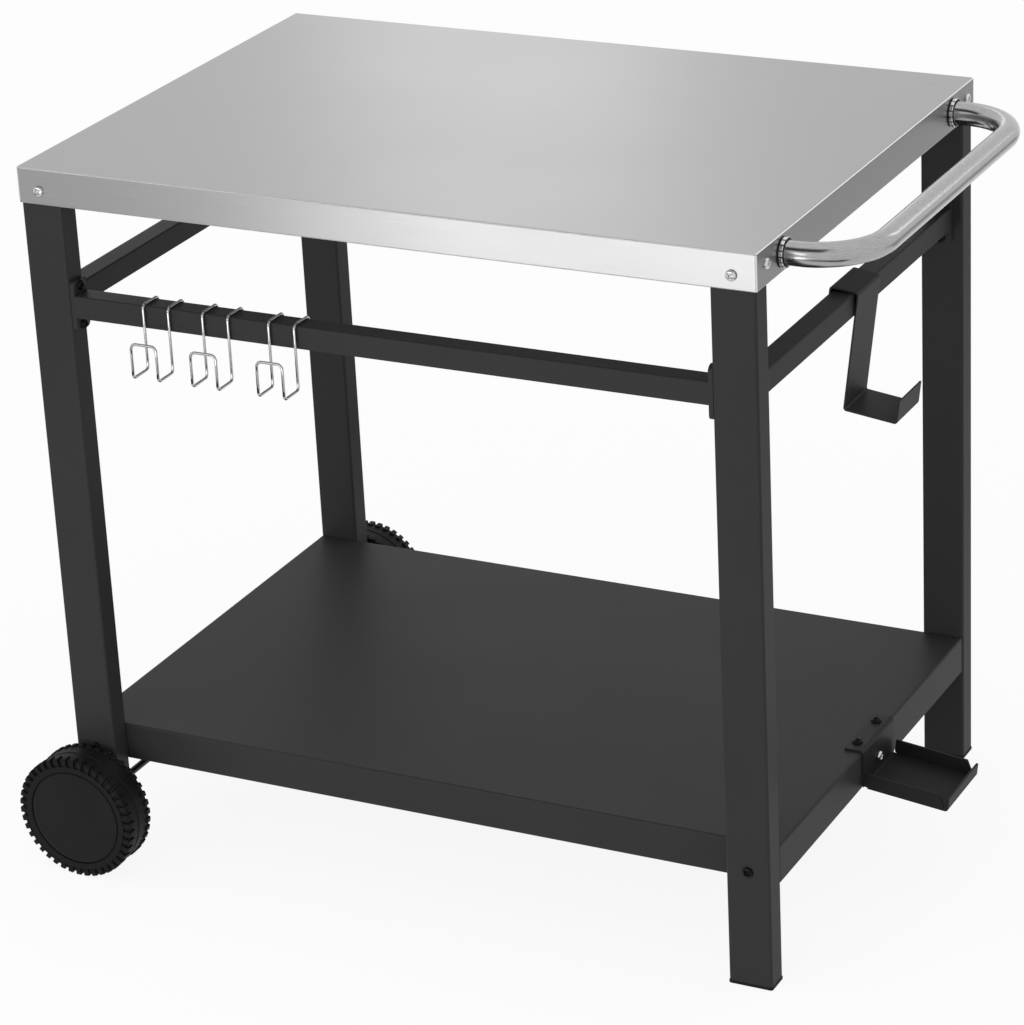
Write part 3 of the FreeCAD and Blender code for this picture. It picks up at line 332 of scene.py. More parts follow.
def turned(axis, centre, angle, across, along):
    """Sections turned about an axis through a centre, with one row of points for each angle.

    Along the axis a point is at its own place. Its other two coordinates are the centre's plus
    its distance across times the cosine and the sine of the angle.
    """
    first, second = (other for other in range(3) if other != axis)
    points = np.empty((len(angle), along.shape[-1], 3))
    points[..., axis] = along
    points[..., first] = centre[first] + across * np.cos(angle)[:, None]
    points[..., second] = centre[second] + across * np.sin(angle)[:, None]
    return points


def circle_profile(radius, count):
    """Points of a circle, as pairs."""
    angle = np.arange(count) * 2 * math.pi / count
    return np.stack([radius * np.cos(angle), radius * np.sin(angle)], axis=1)


def tube_surface(surface, route, side, radius, count, scale=None):
    """Closed round bar along a route; its map is length along it and length round it."""
    profile = circle_profile(radius, count)
    around = np.arange(count + 1) * 2 * math.pi * radius / count
    points = carried(route, profile, side, scale)
    surface.bar(points, flat_map(running_length(route), around), profile, profile)


def rounded_ends(route, radius, steps=4):
    """Route and scale with a half ball at each end: scale = square root of 1 - share squared.

    The last share stays just short of 1, so that the end face keeps a little width.
    """
    share = np.sin(np.linspace(0, math.pi / 2 * 0.97, steps + 1)[1:])
    start = unit(route[0] - route[1])
    end = unit(route[-1] - route[-2])
    first = route[0] + start * radius * (share[::-1, None] - 1)
    last = route[-1] + end * radius * (share[:, None] - 1)
    inner = route[1:-1]
    begin = route[:1] - start * radius
    finish = route[-1:] - end * radius
    scale = np.concatenate([
        np.sqrt(1 - share[::-1] ** 2), np.ones(len(inner) + 2), np.sqrt(1 - share ** 2)])
    return np.concatenate([first, begin, inner, finish, last]), scale


# Finishes

class NodeTree:
    """Node tree of a material or the world, with short calls for a node and a link."""

    def __init__(self, owner):
        owner.use_nodes = True
        self.tree = owner.node_tree

    def fill(self, made, values):
        """The same node, with the values of its sockets."""
        for key, value in values.items():
            made.inputs[key].default_value = value
        return made

    def known(self, name, values=None):
        """Node that is there from the start."""
        return self.fill(self.tree.nodes[name], values or {})

    def node(self, kind, values=None, **settings):
        """New node with its settings."""
        made = self.tree.nodes.new(kind)
        for key, value in settings.items():
            setattr(made, key, value)
        return self.fill(made, values or {})

    def link(self, start, end):
        """Link from an output to an input."""
        self.tree.links.new(start, end)


class Finish(NodeTree):
    """Node tree of one material, with short calls for the nodes used most."""

    def __init__(self, name, values):
        self.material = bpy.data.materials.new(name)
        super().__init__(self.material)
        self.shader = self.known("Principled BSDF", values)

    def stretched(self, scale=(1, 1, 1), source="Object"):
        """Object coordinates, or the piece's own map, stretched by a scale along each axis."""
        place = self.node("ShaderNodeTexCoord")
        mapping = self.node("ShaderNodeMapping", {"Scale": scale})
        self.link(place.outputs[source], mapping.inputs["Vector"])
        return mapping.outputs["Vector"]

    def noise(self, vector, scale=1.0, detail=2.0, roughness=0.5):
        """Cloudy noise; a larger scale makes it finer."""
        made = self.node("ShaderNodeTexNoise", {"Scale": scale, "Detail": detail, "Roughness": roughness})
        self.link(vector, made.inputs["Vector"])
        return made.outputs["Fac"]

    def cells(self, scale):
        """Outputs of a pattern of cells; a larger scale makes them smaller."""
        made = self.node("ShaderNodeTexVoronoi", {"Scale": scale}, feature="F1")
        self.link(self.stretched(), made.inputs["Vector"])
        return made.outputs

    def gloss(self, value, smooth, rough, start=0.3, end=0.7):
        """Roughness that moves evenly from smooth to rough as the value goes from start to end."""
        made = self.node("ShaderNodeMapRange", {
            "From Min": start, "From Max": end, "To Min": smooth, "To Max": rough})
        self.link(value, made.inputs["Value"])
        self.link(made.outputs["Result"], self.shader.inputs["Roughness"])

    def shade(self, value, colour, amount):
        """Base colour made lighter and darker by an amount as the value goes from low to high."""
        ramp = self.node("ShaderNodeValToRGB")
        steps = ramp.color_ramp.elements
        for step, position, change in zip(steps, (0.3, 0.7), (1 - amount, 1 + amount)):
            step.position = position
            step.color = (*(min(1.0, channel * change) for channel in colour), 1)
        self.link(value, ramp.inputs["Fac"])
        self.link(ramp.outputs["Color"], self.shader.inputs["Base Color"])
        return ramp.outputs["Color"]

    def with_painted_light(self, plain, colour):
        """Base colour blended towards a second colour of painted light, bright for a highlight and dark for
        shade, as far as the piece's painted light attribute says.
        """
        blend = self.node("ShaderNodeMix", {"B": (*colour, 1)}, data_type="RGBA")
        # Share of painted light read from the piece, highlight on folds and shade on rings
        marks = self.node("ShaderNodeAttribute", attribute_name="marks")
        self.link(marks.outputs["Fac"], blend.inputs["Factor"])
        self.link(plain, blend.inputs["A"])
        self.link(blend.outputs["Result"], self.shader.inputs["Base Color"])

    def bump(self, height, strength, distance, below=None):
        """Relief from a height, over another relief where one is given."""
        made = self.node("ShaderNodeBump", {"Strength": strength, "Distance": distance})
        self.link(height, made.inputs["Height"])
        if below is not None:
            self.link(below, made.inputs["Normal"])
        self.link(made.outputs["Normal"], self.shader.inputs["Normal"])
        return made.outputs["Normal"]


def brushed_steel(name, colour, stretch, rough=(0.26, 0.36), lines=0.25, contrast=0.05, fold_highlight=None):
    """Fine straight lines along the sheet or the tube, over a slow cloudy change of gloss.

    Where a fold highlight colour is given, the sheet's folds are painted towards that brighter colour as a
    painted highlight.
    """
    finish = Finish(name, {"Metallic": 1.0})
    fine = finish.noise(finish.stretched(stretch, "UV"), detail=3.0, roughness=0.6)
    cloud = finish.noise(finish.stretched((3, 3, 3)))
    plain = finish.shade(fine, colour, contrast)
    # The folds get a painted highlight in the brighter colour
    if fold_highlight is not None:
        finish.with_painted_light(plain, fold_highlight)
    mixed = finish.node("ShaderNodeMix", {"Factor": 0.35}, data_type="FLOAT")
    finish.link(fine, mixed.inputs["A"])
    finish.link(cloud, mixed.inputs["B"])
    finish.gloss(mixed.outputs["Result"], *rough)
    finish.bump(fine, lines, 0.02 * MM)
    return finish.material


def powder_coat(name, colour, rough=(0.47, 0.51), grain=0.22):
    """Satin coat: a fine even grain with a slight swell, and gloss that drifts a little."""
    finish = Finish(name, {"IOR": 1.2})
    place = finish.stretched()
    swell = finish.noise(place, scale=260, detail=1.0)
    fine = finish.noise(place, scale=1700)
    drift = finish.noise(place, scale=7, detail=3.0)
    finish.shade(drift, colour, 0.05)
    finish.gloss(drift, *rough)
    under = finish.bump(swell, grain, 0.12 * MM)
    finish.bump(fine, grain, 0.03 * MM, below=under)
    return finish.material


def moulded_plastic(name, colour, rough, grain_scale, grain):
    """Moulded plastic: a spark-etched grain, with scuffed gloss in soft patches."""
    finish = Finish(name, {"IOR": 1.22})
    patches = finish.noise(finish.stretched(), scale=22, detail=4.0)
    finish.shade(patches, colour, 0.25)
    finish.gloss(patches, *rough)
    finish.bump(finish.cells(grain_scale)["Distance"], grain, 0.15 * MM)
    return finish.material


def plated_metal(name, colour, rough, patch_scale, grain=0.1, gap_shade_and_axle_black=None):
    """Plated steel: cloudy patches of gloss with a faint grain, and painted shade in a darker colour where
    one is given.
    """
    finish = Finish(name, {"Metallic": 1.0})
    place = finish.stretched()
    patches = finish.noise(place, scale=patch_scale, detail=4.0)
    fine = finish.noise(place, scale=patch_scale * 12, detail=1.0)
    plain = finish.shade(patches, colour, 0.07)
    if gap_shade_and_axle_black is not None:
        finish.with_painted_light(plain, gap_shade_and_axle_black)
    finish.gloss(patches, *rough)
    finish.bump(fine, grain, 0.03 * MM)
    return finish.material


def galvanised_steel(name, colour):
    """Hot-dipped steel: angular crystals that differ in brightness and gloss."""
    finish = Finish(name, {"Metallic": 1.0})
    crystals = finish.cells(90)
    tone = finish.node("ShaderNodeSeparateColor")
    finish.link(crystals["Color"], tone.inputs["Color"])
    finish.shade(tone.outputs["Red"], colour, 0.16)
    finish.gloss(tone.outputs["Green"], 0.35, 0.55, 0, 1)
    finish.bump(crystals["Distance"], 0.1, 0.1 * MM)
    return finish.material


def finish_named(kind):
    """Material of a record slot or of a finish that a slot's piece has instead, made only once."""
    name = kind + "_finish"
    known = bpy.data.materials.get(name)
    if known:
        return known
    colours = bpy.context.scene.oven_table_finish
    makers = {
        "brushed_stainless": lambda: brushed_steel(
            name, colours.stainless, (9, 1500, 1), fold_highlight=colours.fold_highlight),
        "stainless_tube": lambda: brushed_steel(
            name, colours.tube, (110, 1900, 1), (0.17, 0.27), lines=0.8, contrast=0.2),
        # Handle rings, with painted shade in their notches, waist and groove
        "polished_ring": lambda: plated_metal(
            name, colours.ring, (0.1, 0.2), 160, grain=0.05, gap_shade_and_axle_black=colours.gap_shade_and_axle_black),
        "galvanised_channel": lambda: galvanised_steel(name, colours.channel),
        "black_powder_coat": lambda: powder_coat(name, colours.coat),
        "bracket_coat": lambda: powder_coat(name, colours.bracket),
        "wheel_plastic": lambda: moulded_plastic(name, colours.wheel, (0.5, 0.62), 900, 0.25),
        "hub_cap_plastic": lambda: moulded_plastic(name, colours.hub, (0.42, 0.55), 1400, 0.18),
        "black_plastic": lambda: moulded_plastic(name, colours.wheel, (0.45, 0.6), 1200, 0.2),
        "zinc_steel": lambda: plated_metal(name, colours.zinc, (0.3, 0.45), 180),
        # The axle rod's own black, the same colour as the rings' painted shade
        "blackened_rod": lambda: plated_metal(name, colours.gap_shade_and_axle_black, (0.35, 0.5), 180),
        "silver_screw": lambda: plated_metal(name, colours.screw, (0.18, 0.3), 400),
        "black_screw": lambda: powder_coat(name, colours.wheel, (0.25, 0.36), grain=0.12),
        "bright_wire": lambda: plated_metal(name, colours.wire, (0.04, 0.08), 120, grain=0.04),
    }
    if kind not in makers:
        raise RuntimeError("no finish for " + kind)
    return makers[kind]()


# Folded trays

def tray_fold(bend, depth, sheet, hem):
    """Half section of a folded tray from the middle of its top outwards and back below it.

    Each point is an inset from the outline, a drop below the top, a length along the unrolled
    sheet past the outline and a share of painted highlight there. The bend is a quarter
    circle, its painted highlight strongest at its middle, and the hem's fold a half circle,
    with a painted highlight a little weaker. A point a hair away from each keeps the flats flat.
    """
    reach = 30 * MM
    hair = 0.4 * MM
    quarter = np.linspace(0, math.pi / 2, 7)
    half = np.linspace(0, math.pi, 9)
    # Painted highlight across the bend, strongest at its middle; weaker on the hem's fold
    bend_highlight = np.clip(3.4 * np.sin(2 * quarter) - 2.4, 0, 1)
    painted_highlight = [[0.0, 0.0], bend_highlight, [0.0, 0.0], 0.7 * np.clip(np.sin(half), 0, 1)]
    outer_bend = np.stack([bend * (1 - np.sin(quarter)), bend * (1 - np.cos(quarter))], axis=1)
    tip = sheet if hem else sheet / 2
    fold = np.stack([tip * (1 - np.cos(half)), depth - tip + tip * np.sin(half)], axis=1)
    flats = [[0.0, bend + hair], [0.0, depth - tip - hair]]
    parts = [[[reach, 0.0], [bend + hair, 0.0]], outer_bend, flats, fold]
    if hem:
        parts.append([[2 * sheet, depth - hem], [1.05 * sheet, depth - hem]])
    inner_radius = bend - sheet
    back = quarter[::-1]
    inner_bend = np.stack([bend - inner_radius * np.sin(back), bend - inner_radius * np.cos(back)], axis=1)
    parts += [inner_bend, [[reach, sheet]]]
    section = np.concatenate([np.asarray(part, dtype=float) for part in parts])
    painted_highlight = np.concatenate(painted_highlight)
    painted_highlight = np.concatenate([painted_highlight, np.zeros(len(section) - len(painted_highlight))])
    return section, running_length(section) - reach, painted_highlight


def tray_outline(half_x, half_y, corner, inset):
    """Rounded rectangle drawn in from its outline: one ring of points for each inset.

    A point is the corner's centre, or a place on the run between two, plus the corner radius
    less the inset along the outward direction. Where the inset is the larger, the radius is 0
    and the centre itself is drawn in.
    """
    arc = np.linspace(0, math.pi / 2, 9)
    share = np.concatenate([[0.001], np.linspace(0, 1, 24)[1:-1], [0.999]])[:, None]
    signs = [(1, -1, -math.pi / 2), (1, 1, 0.0), (-1, 1, math.pi / 2), (-1, -1, math.pi)]
    spot = np.array([half_x - corner, half_y - corner])
    centres = []
    directions = []
    for (sx, sy, start), (nx, ny, _) in zip(signs, signs[1:] + signs[:1]):
        outwards = np.stack([np.cos(start + arc), np.sin(start + arc)], axis=1)
        here = spot * (sx, sy)
        ahead = spot * (nx, ny)
        centres += [np.repeat(here[None], len(arc), axis=0), here + share * (ahead - here)]
        directions += [outwards, np.repeat(outwards[-1:], len(share), axis=0)]
    centres = np.concatenate(centres)
    directions = np.concatenate(directions)
    inset = np.asarray(inset)[:, None, None]
    radius = np.maximum(corner - inset, 0)
    limit = np.array([half_x, half_y]) - inset - radius
    return np.clip(centres[None], -limit, limit) + radius * directions[None], directions


def folded_tray(name, node, slot, corner, bend, sheet, hem):
    """Tray folded from one sheet: the fold's section carried round a rounded rectangle.

    The skirt's upright folds get the painted highlight too, strongest at the middle of each corner.
    """
    low, high = corners_of(node)
    centre = (low + high) / 2
    half = (high - low) / 2
    section, unrolled, painted_highlight = tray_fold(bend, high[2] - low[2], sheet, hem)
    rings, directions = tray_outline(half[0], half[1], corner, section[:, 0])
    heights = high[2] - section[:, 1]
    points = np.concatenate([
        rings + centre[None, None, :2],
        np.broadcast_to(heights[:, None, None], (*rings.shape[:2], 1)),
    ], axis=-1)
    edge = tray_outline(half[0], half[1], corner, np.zeros(1))[0][0]
    chart = edge[None] + directions[None] * unrolled[:, None, None]
    chart = np.concatenate([chart, chart[:, :1]], axis=1)
    # Painted highlight on the skirt's upright corners, strongest at their middle
    upright = np.clip(3 * np.abs(directions[:, 0] * directions[:, 1]), 0, 1)
    skirt = (section[:, 1] > bend) & (section[:, 0] < sheet)
    folds = np.maximum(painted_highlight[:, None], 0.8 * skirt[:, None] * upright[None])
    surface = Surface()
    surface.bar(points, chart, rings[0], rings[-1])
    surface.piece(name, node, "cart", slot, marks=folds)


# Handle

def bent_handle(name, node, bend):
    """Handle tube: a circle carried along two feet, two quarter bends and the grip, in one level plane."""
    low, high = corners_of(node)
    radius = (high[2] - low[2]) / 2
    level = (high[2] + low[2]) / 2
    foot = low[0]
    grip = high[0] - radius
    end = high[1] - radius
    corners = [(foot, -end, level), (grip, -end, level), (grip, end, level), (foot, end, level)]
    route = subdivided(rounded_route(corners, [bend, bend], arc_points=25), 12 * MM)
    surface = Surface()
    tube_surface(surface, route, np.broadcast_to(Z_DIRECTION, route.shape), radius, 64)
    surface.piece(name, node, "cart", "brushed_stainless", "stainless_tube")


def notched_ring(name, node, notches):
    """Ring round a handle foot, its rim cut by shallow notches.

    The radius is the rim's, less the notch depth times a smooth pulse of the angle. The
    profile goes once round the ring's section, with a narrow waist against the skirt and a
    groove round the tube. Each of its points is a place along the axis, a radius, 1 where the
    notches cut it and 1 where shade is painted on it: the face against the skirt, the waist and
    the groove. The notches' floors get painted shade too.
    """
    low, high = corners_of(node)
    tube_low, tube_high = corners_of("handle_tube")
    outer = (high[2] - low[2]) / 2
    tube = (tube_high[2] - tube_low[2]) / 2
    end = high[0] - low[0]
    edge = 0.5 * MM
    depth = 1.5 * MM
    neck = 1 * MM
    waist = outer - 1.4 * MM
    groove = end - 1.3 * MM
    groove_mouth = tube + 1.4 * MM
    groove_wall = tube + 1.2 * MM
    along, across, cut, painted_shade = np.array([
        (0, tube, 0, 1), (0, waist, 0, 1), (neck, waist, 0, 1), (neck, outer - edge, 1, 1),
        (neck + edge, outer, 1, 0), (end - edge, outer, 1, 0), (end, outer - edge, 1, 0),
        (end, groove_mouth, 0, 1), (groove, groove_wall, 0, 1), (groove, tube, 0, 1),
    ]).T
    share, pulse = np.array([
        (0, 1), (0.07, 1), (0.12, 0), (0.3, 0), (0.5, 0), (0.7, 0), (0.88, 0), (0.93, 1),
    ]).T
    angle = ((np.arange(notches)[:, None] + share) * 2 * math.pi / notches).ravel()
    pulse = np.tile(pulse, notches)[:, None]
    points = turned(0, (low + high) / 2, angle, across - depth * cut * pulse, low[0] + along)
    turns = np.append(angle, 2 * math.pi) * outer
    surface = Surface()
    chart = flat_map(turns, np.arange(len(along) + 1) * MM)[..., ::-1]
    surface.grid(points, chart, close_rows=True, close_columns=True)
    # Painted shade: full on the face against the skirt, the waist and the groove; 0.8 on the notches' floors
    gap_shade_and_axle_black = np.maximum(painted_shade, 0.8 * cut * (pulse > 0.5))
    surface.piece(name, node, "cart", "brushed_stainless", "polished_ring", math.radians(30), gap_shade_and_axle_black)


# Wheels

def wheel_sections(sizes, width, radius):
    """Two half sections of the wheel, through a block and through a gap, with like points.

    Each point is a radius and a depth from the wheel's inner side, in millimetres until the
    end. They differ only where the spaces between blocks cut the two rows of blocks and the
    outer shoulder. The third result picks the points that the step at a block's end lowers.
    """
    width /= MM
    radius /= MM
    base = radius - sizes.tread_depth / MM
    slot = base - sizes.slot_reach / MM + 2
    rim = base - 4.5
    inner_end = 8.5
    outer_start = width - 11
    middle = width / 2
    bore = 4.2
    boss = 12
    boss_end = width - 9.5
    web_inner = 4
    web_outer = 9
    seat = 55.1
    ledge = seat - 4.5
    recess = width - 2.5
    inner_side = [
        (bore, 0), (boss - 0.5, 0), (boss, 0.5), (boss + 2, web_inner), (rim - 4, web_inner), (rim, 1)]
    inner_blocks = [
        (base - 3, 0.6), (base - 1.4, 0.8), (radius - 1, 1.2), (radius - 0.3, 1.8), (radius, 2.6),
        (radius, inner_end - 0.6), (radius - 0.5, inner_end),
    ]
    inner_gaps = [
        (base - 4, 1.8), (base - 3, 2.2), (base - 1.4, 2.4), (base - 0.3, 2.7), (base, 3.2),
        (base, inner_end - 0.6), (base, inner_end),
    ]
    ridge = [
        (base, inner_end + 0.3), (base, middle - 1.8), (base + 0.6, middle - 1.2),
        (base + 0.8, middle - 0.6), (base + 0.8, middle + 0.6),
        (base + 0.6, middle + 1.2), (base, middle + 1.8), (base, outer_start - 0.3),
    ]
    outer_blocks = [
        (radius - 0.5, outer_start), (radius, outer_start + 0.6), (radius, width - 2),
        (radius - 0.3, width - 1.1), (radius - 1, width - 0.4), (base - 1.4, width - 0.1), (base - 3, width),
    ]
    outer_gaps = [
        (base, outer_start), (base, outer_start + 0.6), (base, width - 4.4), (base - 0.2, width - 3.8),
        (base - 0.7, width - 3.4), (base - 1.6, width - 3.1), (base - 3, width - 3),
    ]
    block_step = [(base - 5, width), (slot + 0.4, width)]
    gap_step = [(base - 5, width - 2.9), (slot + 0.4, width - 2.4)]
    face = [
        (slot - 0.2, width), (seat + 0.7, width), (seat, width - 0.7), (seat, recess),
        (ledge, recess), (ledge, web_outer), (boss, web_outer),
        (boss, boss_end - 0.5), (boss - 0.5, boss_end), (bore, boss_end),
    ]
    block = inner_side + inner_blocks + ridge + outer_blocks + block_step + face
    gap = inner_side + inner_gaps + ridge + outer_gaps + gap_step + face
    step_end = len(block) - len(face)
    return np.array(block) * MM, np.array(gap) * MM, slice(step_end - len(block_step), step_end)


def wheel(name, node, body, sizes, outwards):
    """Wheel: section turned about the axle; between blocks it moves towards the gap's section.

    point = block section * (1 - pulse) + gap section * pulse, turned by the angle. Each row of
    the pitch is a share of the way from one block to the next, the pulse there, which is 0 on
    a block and 1 in a gap, and the share of a shallow step that lowers a block's end there.
    """
    low, high = corners_of(node)
    radius = (high[2] - low[2]) / 2
    step_height = 0.9 * MM
    block, gap, stepped = wheel_sections(sizes, high[1] - low[1], radius)
    share, pulse, step = np.array([
        (0, 0, 0), (0.08, 0, 0), (0.16, 0, 1), (0.34, 0, 1), (0.49, 0, 1), (0.52, 0.12, 0.88),
        (0.55, 0.88, 0.12), (0.58, 1, 0), (0.77, 1, 0), (0.945, 1, 0), (0.975, 0.5, 0),
    ]).T
    angle = ((np.arange(sizes.blocks)[:, None] + share) * 2 * math.pi / sizes.blocks).ravel()
    pulse = np.tile(pulse, sizes.blocks)[:, None, None]
    step = np.tile(step, sizes.blocks)[:, None] * step_height
    section = block * (1 - pulse) + gap * pulse
    depth = section[..., 1]
    depth[:, stepped] -= step
    inner = low[1] if outwards > 0 else high[1]
    points = turned(1, (low + high) / 2, angle, section[..., 0], inner + outwards * depth)
    turns = np.append(angle, 2 * math.pi) * radius
    along = running_length(np.concatenate([block, block[:1]]))
    surface = Surface()
    surface.grid(points, flat_map(turns, along), close_rows=True, close_columns=True)
    surface.piece(name, node, body, "wheel_plastic", sharp=math.radians(32))


def hub_disc(name, node, body, outwards):
    """Hub disc: section turned about the axle, a low crown with a rounded edge that leaves a groove.

    Each point is a radius and a depth below the disc's face, in millimetres until the end. The
    crown's depth grows with the square of the radius.
    """
    low, high = corners_of(node)
    radius = (high[2] - low[2]) / 2 / MM
    face = high[1] if outwards > 0 else low[1]
    hole = 0.5
    crown_drop = 0.8
    seat = 3
    sheet = 3.4
    spigot_end = 10
    spigot_outer = radius - 4.8
    spigot_inner = radius - 6.7
    crown = np.linspace(hole, radius - 1.6, 16)
    outer = [
        (radius - 1.1, 0.95), (radius - 0.8, 1.3), (radius - 0.7, 1.9), (radius - 0.7, 2.3),
        (radius, 2.4), (radius, seat), (spigot_outer, seat), (spigot_outer, spigot_end),
        (spigot_inner, spigot_end), (spigot_inner, sheet), (hole, sheet),
    ]
    section = np.concatenate([np.stack([crown, crown_drop * (crown / radius) ** 2], axis=1), outer]) * MM
    count = 128
    angle = np.arange(count) * 2 * math.pi / count
    points = turned(1, (low + high) / 2, angle, section[:, 0], face - outwards * section[:, 1])
    turns = np.append(angle, 2 * math.pi) * radius * MM
    surface = Surface()
    first = surface.grid(points, flat_map(turns, running_length(section)), close_rows=True)
    columns = len(section)
    ring = circle_profile(hole * MM, count)
    surface.cap(first + np.arange(count)[::-1] * columns, ring)
    surface.cap(first + np.arange(count) * columns + columns - 1, ring)
    surface.piece(name, node, body, "hub_cap_plastic", sharp=math.radians(32))


# Wire hooks

def wire_hook(name, node, body, sizes):
    """Hook of round wire: a circle carried down one side, along the crossbar and back."""
    low, high = corners_of(node)
    rail_low, rail_high = corners_of("front_rail")
    side = sizes.wire / 2
    left, right = low[0] + side, high[0] - side
    front, back = low[1] + side, high[1] - side
    bottom, top = low[2] + side, high[2] - side
    rail_front = rail_low[1] - (high[1] - rail_high[1]) + side
    crossbar = bottom + 38 * MM
    tail = top - 12 * MM
    half = [
        (left, back, tail), (left, back, top), (left, rail_front, top),
        (left, rail_front, bottom), (left, front, bottom), (left, front, crossbar),
    ]
    other = [(right, y, z) for _, y, z in reversed(half)]
    shoulder, crook, bar = sizes.shoulder_bend, sizes.crook_bend, sizes.crossbar_bend
    radii = [shoulder, shoulder, crook, crook, bar]
    route = subdivided(rounded_route(half + other, radii + radii[::-1]), 6 * MM)
    route, scale = rounded_ends(route, side)
    cross = np.cross(Y_DIRECTION, tangents(route))
    on_crossbar = (route[:, 2] > crossbar - bar - side) & (route[:, 1] < front + side)
    plain = np.where(route[:, :1] < (left + right) / 2, X_DIRECTION, -X_DIRECTION)
    surface = Surface()
    tube_surface(surface, route, np.where(on_crossbar[:, None], cross, plain), side, 16, scale)
    surface.piece(name, node, body, "bright_wire")


# Hanging strap

def hanging_strap(name, node, body, sheet):
    """Strap: a flat bar with rounded edges carried along the folded line of the hanger.

    The line goes over the rail, down, out along the floor and up the end lip, all tilted
    about the rail's top edge as the CAD strap is.
    """
    low, high = corners_of(node)
    tilt = math.radians(7.5)
    mouth, lip, drop, reach, end_lip = (value * MM for value in (28.1, 15, 130, 60, 26))
    half = sheet / 2
    line = np.array([
        (-mouth - half, -lip), (-mouth - half, half), (half, half), (half, -drop + half),
        (reach - half, -drop + half), (reach - half, -drop + end_lip),
    ])
    turned_x = line[:, 0] * math.cos(tilt) + line[:, 1] * math.sin(tilt)
    turned_z = -line[:, 0] * math.sin(tilt) + line[:, 1] * math.cos(tilt)
    middle = (high[1] + low[1]) / 2
    bend = 1.5 * MM + half
    corners = np.stack([turned_x, np.full(len(line), middle), turned_z], axis=1)
    route = subdivided(rounded_route(corners, [bend] * 4, arc_points=8), 2 * MM)
    side = (high[1] - low[1]) / 2
    edge = 0.5 * MM
    soft = 0.3 * edge
    flat = side - 2 * edge
    quarter = np.array([
        (flat, half), (side - edge, half), (side - soft, half - soft), (side, half - edge)])
    profile = np.concatenate([
        quarter[::-1] * (-1, -1), quarter * (1, -1), quarter[::-1], quarter * (-1, 1)])
    points = carried(route, profile, np.broadcast_to(Y_DIRECTION, route.shape))
    points += np.array([low[0] - points[..., 0].min(), 0, high[2] - points[..., 2].max()])
    around = running_length(np.concatenate([profile, profile[:1]]))
    surface = Surface()
    surface.bar(points, flat_map(running_length(route), around), profile, profile)
    surface.piece(name, node, body, "black_powder_coat")


# Screws

def smooth_step(value):
    """0 below 0, 1 above 1, and 3 v^2 - 2 v^3 between."""
    clipped = np.clip(value, 0, 1)
    return clipped * clipped * (3 - 2 * clipped)


def screw_grid(reach, turn):
    """Pan head with a cross recess, about its own axis, with its plain shank below.

    The dome's height is rim + (height - rim) * sqrt(1 - (r/R)^3). The recess takes off its
    depth where a point lies in either arm of the cross, with sloping walls. The reach is the
    shank's length below the head, and the turn is the angle of the cross.
    """
    rings = 22
    around = 48
    radius = HEAD_WIDTH / 2
    shank = SHANK_WIDTH / 2
    bevel = 0.5 * MM
    across = radius * np.linspace(0.02, 1, rings) ** 0.9
    angle = np.arange(around) * 2 * math.pi / around
    rim = 0.32 * HEAD_HEIGHT
    dome = rim + (HEAD_HEIGHT - rim) * np.sqrt(np.clip(1 - (across / radius) ** 3, 0, 1))
    x = across[:, None] * np.cos(angle)
    y = across[:, None] * np.sin(angle)
    u = x * math.cos(turn) + y * math.sin(turn)
    v = -x * math.sin(turn) + y * math.cos(turn)
    arm_half = 0.085 * HEAD_WIDTH
    arm_length = 0.27 * HEAD_WIDTH
    wall = 0.05 * HEAD_WIDTH
    arms = [
        smooth_step((arm_half - np.abs(p)) / wall + 0.5) * smooth_step((arm_length - np.abs(q)) / wall + 0.5)
        for p, q in ((u, v), (v, u))
    ]
    recess = np.maximum(*arms) * 0.8 * HEAD_HEIGHT * (1 - 0.5 * across[:, None] / radius)
    top = np.stack([x, y, dome[:, None] - recess], axis=-1)
    sides = np.array([
        (radius, 0.4 * rim), (radius - 0.15 * MM, 0),
        (shank, 0), (shank, bevel - reach), (shank - bevel, -reach),
    ])
    lower = np.stack([
        sides[:, :1] * np.cos(angle),
        sides[:, :1] * np.sin(angle),
        np.broadcast_to(sides[:, 1:], (len(sides), around)),
    ], axis=-1)
    return np.concatenate([top, lower])


def screws(name, node, slot, places, reach):
    """Group of like screws; each place is a seat point and the direction its head faces.

    Each cross is turned a little further than the one before, as driven screws are.
    """
    surface = Surface()
    for index, (seat, facing) in enumerate(places):
        local = screw_grid(reach, turn=0.5 + 0.9 * index)
        turn = np.array(Vector((0, 0, 1)).rotation_difference(Vector(facing)).to_matrix())
        flat = local[..., :2]
        chart = np.concatenate([flat, flat[:, :1]], axis=1)
        surface.bar(local @ turn.T + np.asarray(seat), chart, flat[0], flat[-1])
    surface.piece(name, node, "cart", slot, sharp=math.radians(50))


# Stage

def white_to_eyes(tree):
    """1 for camera, glossy and transmission rays, else 0: the largest of the three."""
    path = tree.node("ShaderNodeLightPath")
    seen = path.outputs["Is Camera Ray"]
    for kind in ("Is Glossy Ray", "Is Transmission Ray"):
        larger = tree.node("ShaderNodeMath", operation="MAXIMUM")
        tree.link(seen, larger.inputs[0])
        tree.link(path.outputs[kind], larger.inputs[1])
        seen = larger.outputs[0]
    return seen


def studio_panel(name, place, target, width, height, settings):
    """Soft rectangular lamp at a place, turned to a target, with the power that the settings give it."""
    data = bpy.data.lights.new(name, "AREA")
    data.shape = "RECTANGLE"
    data.size = width
    data.size_y = height
    data.energy = getattr(settings, name)
    item = bpy.data.objects.new(name, data)
    item.location = place
    item.rotation_euler = (Vector(target) - Vector(place)).to_track_quat("-Z", "Y").to_euler()
    item.visible_camera = False
    bpy.context.scene.collection.objects.link(item)


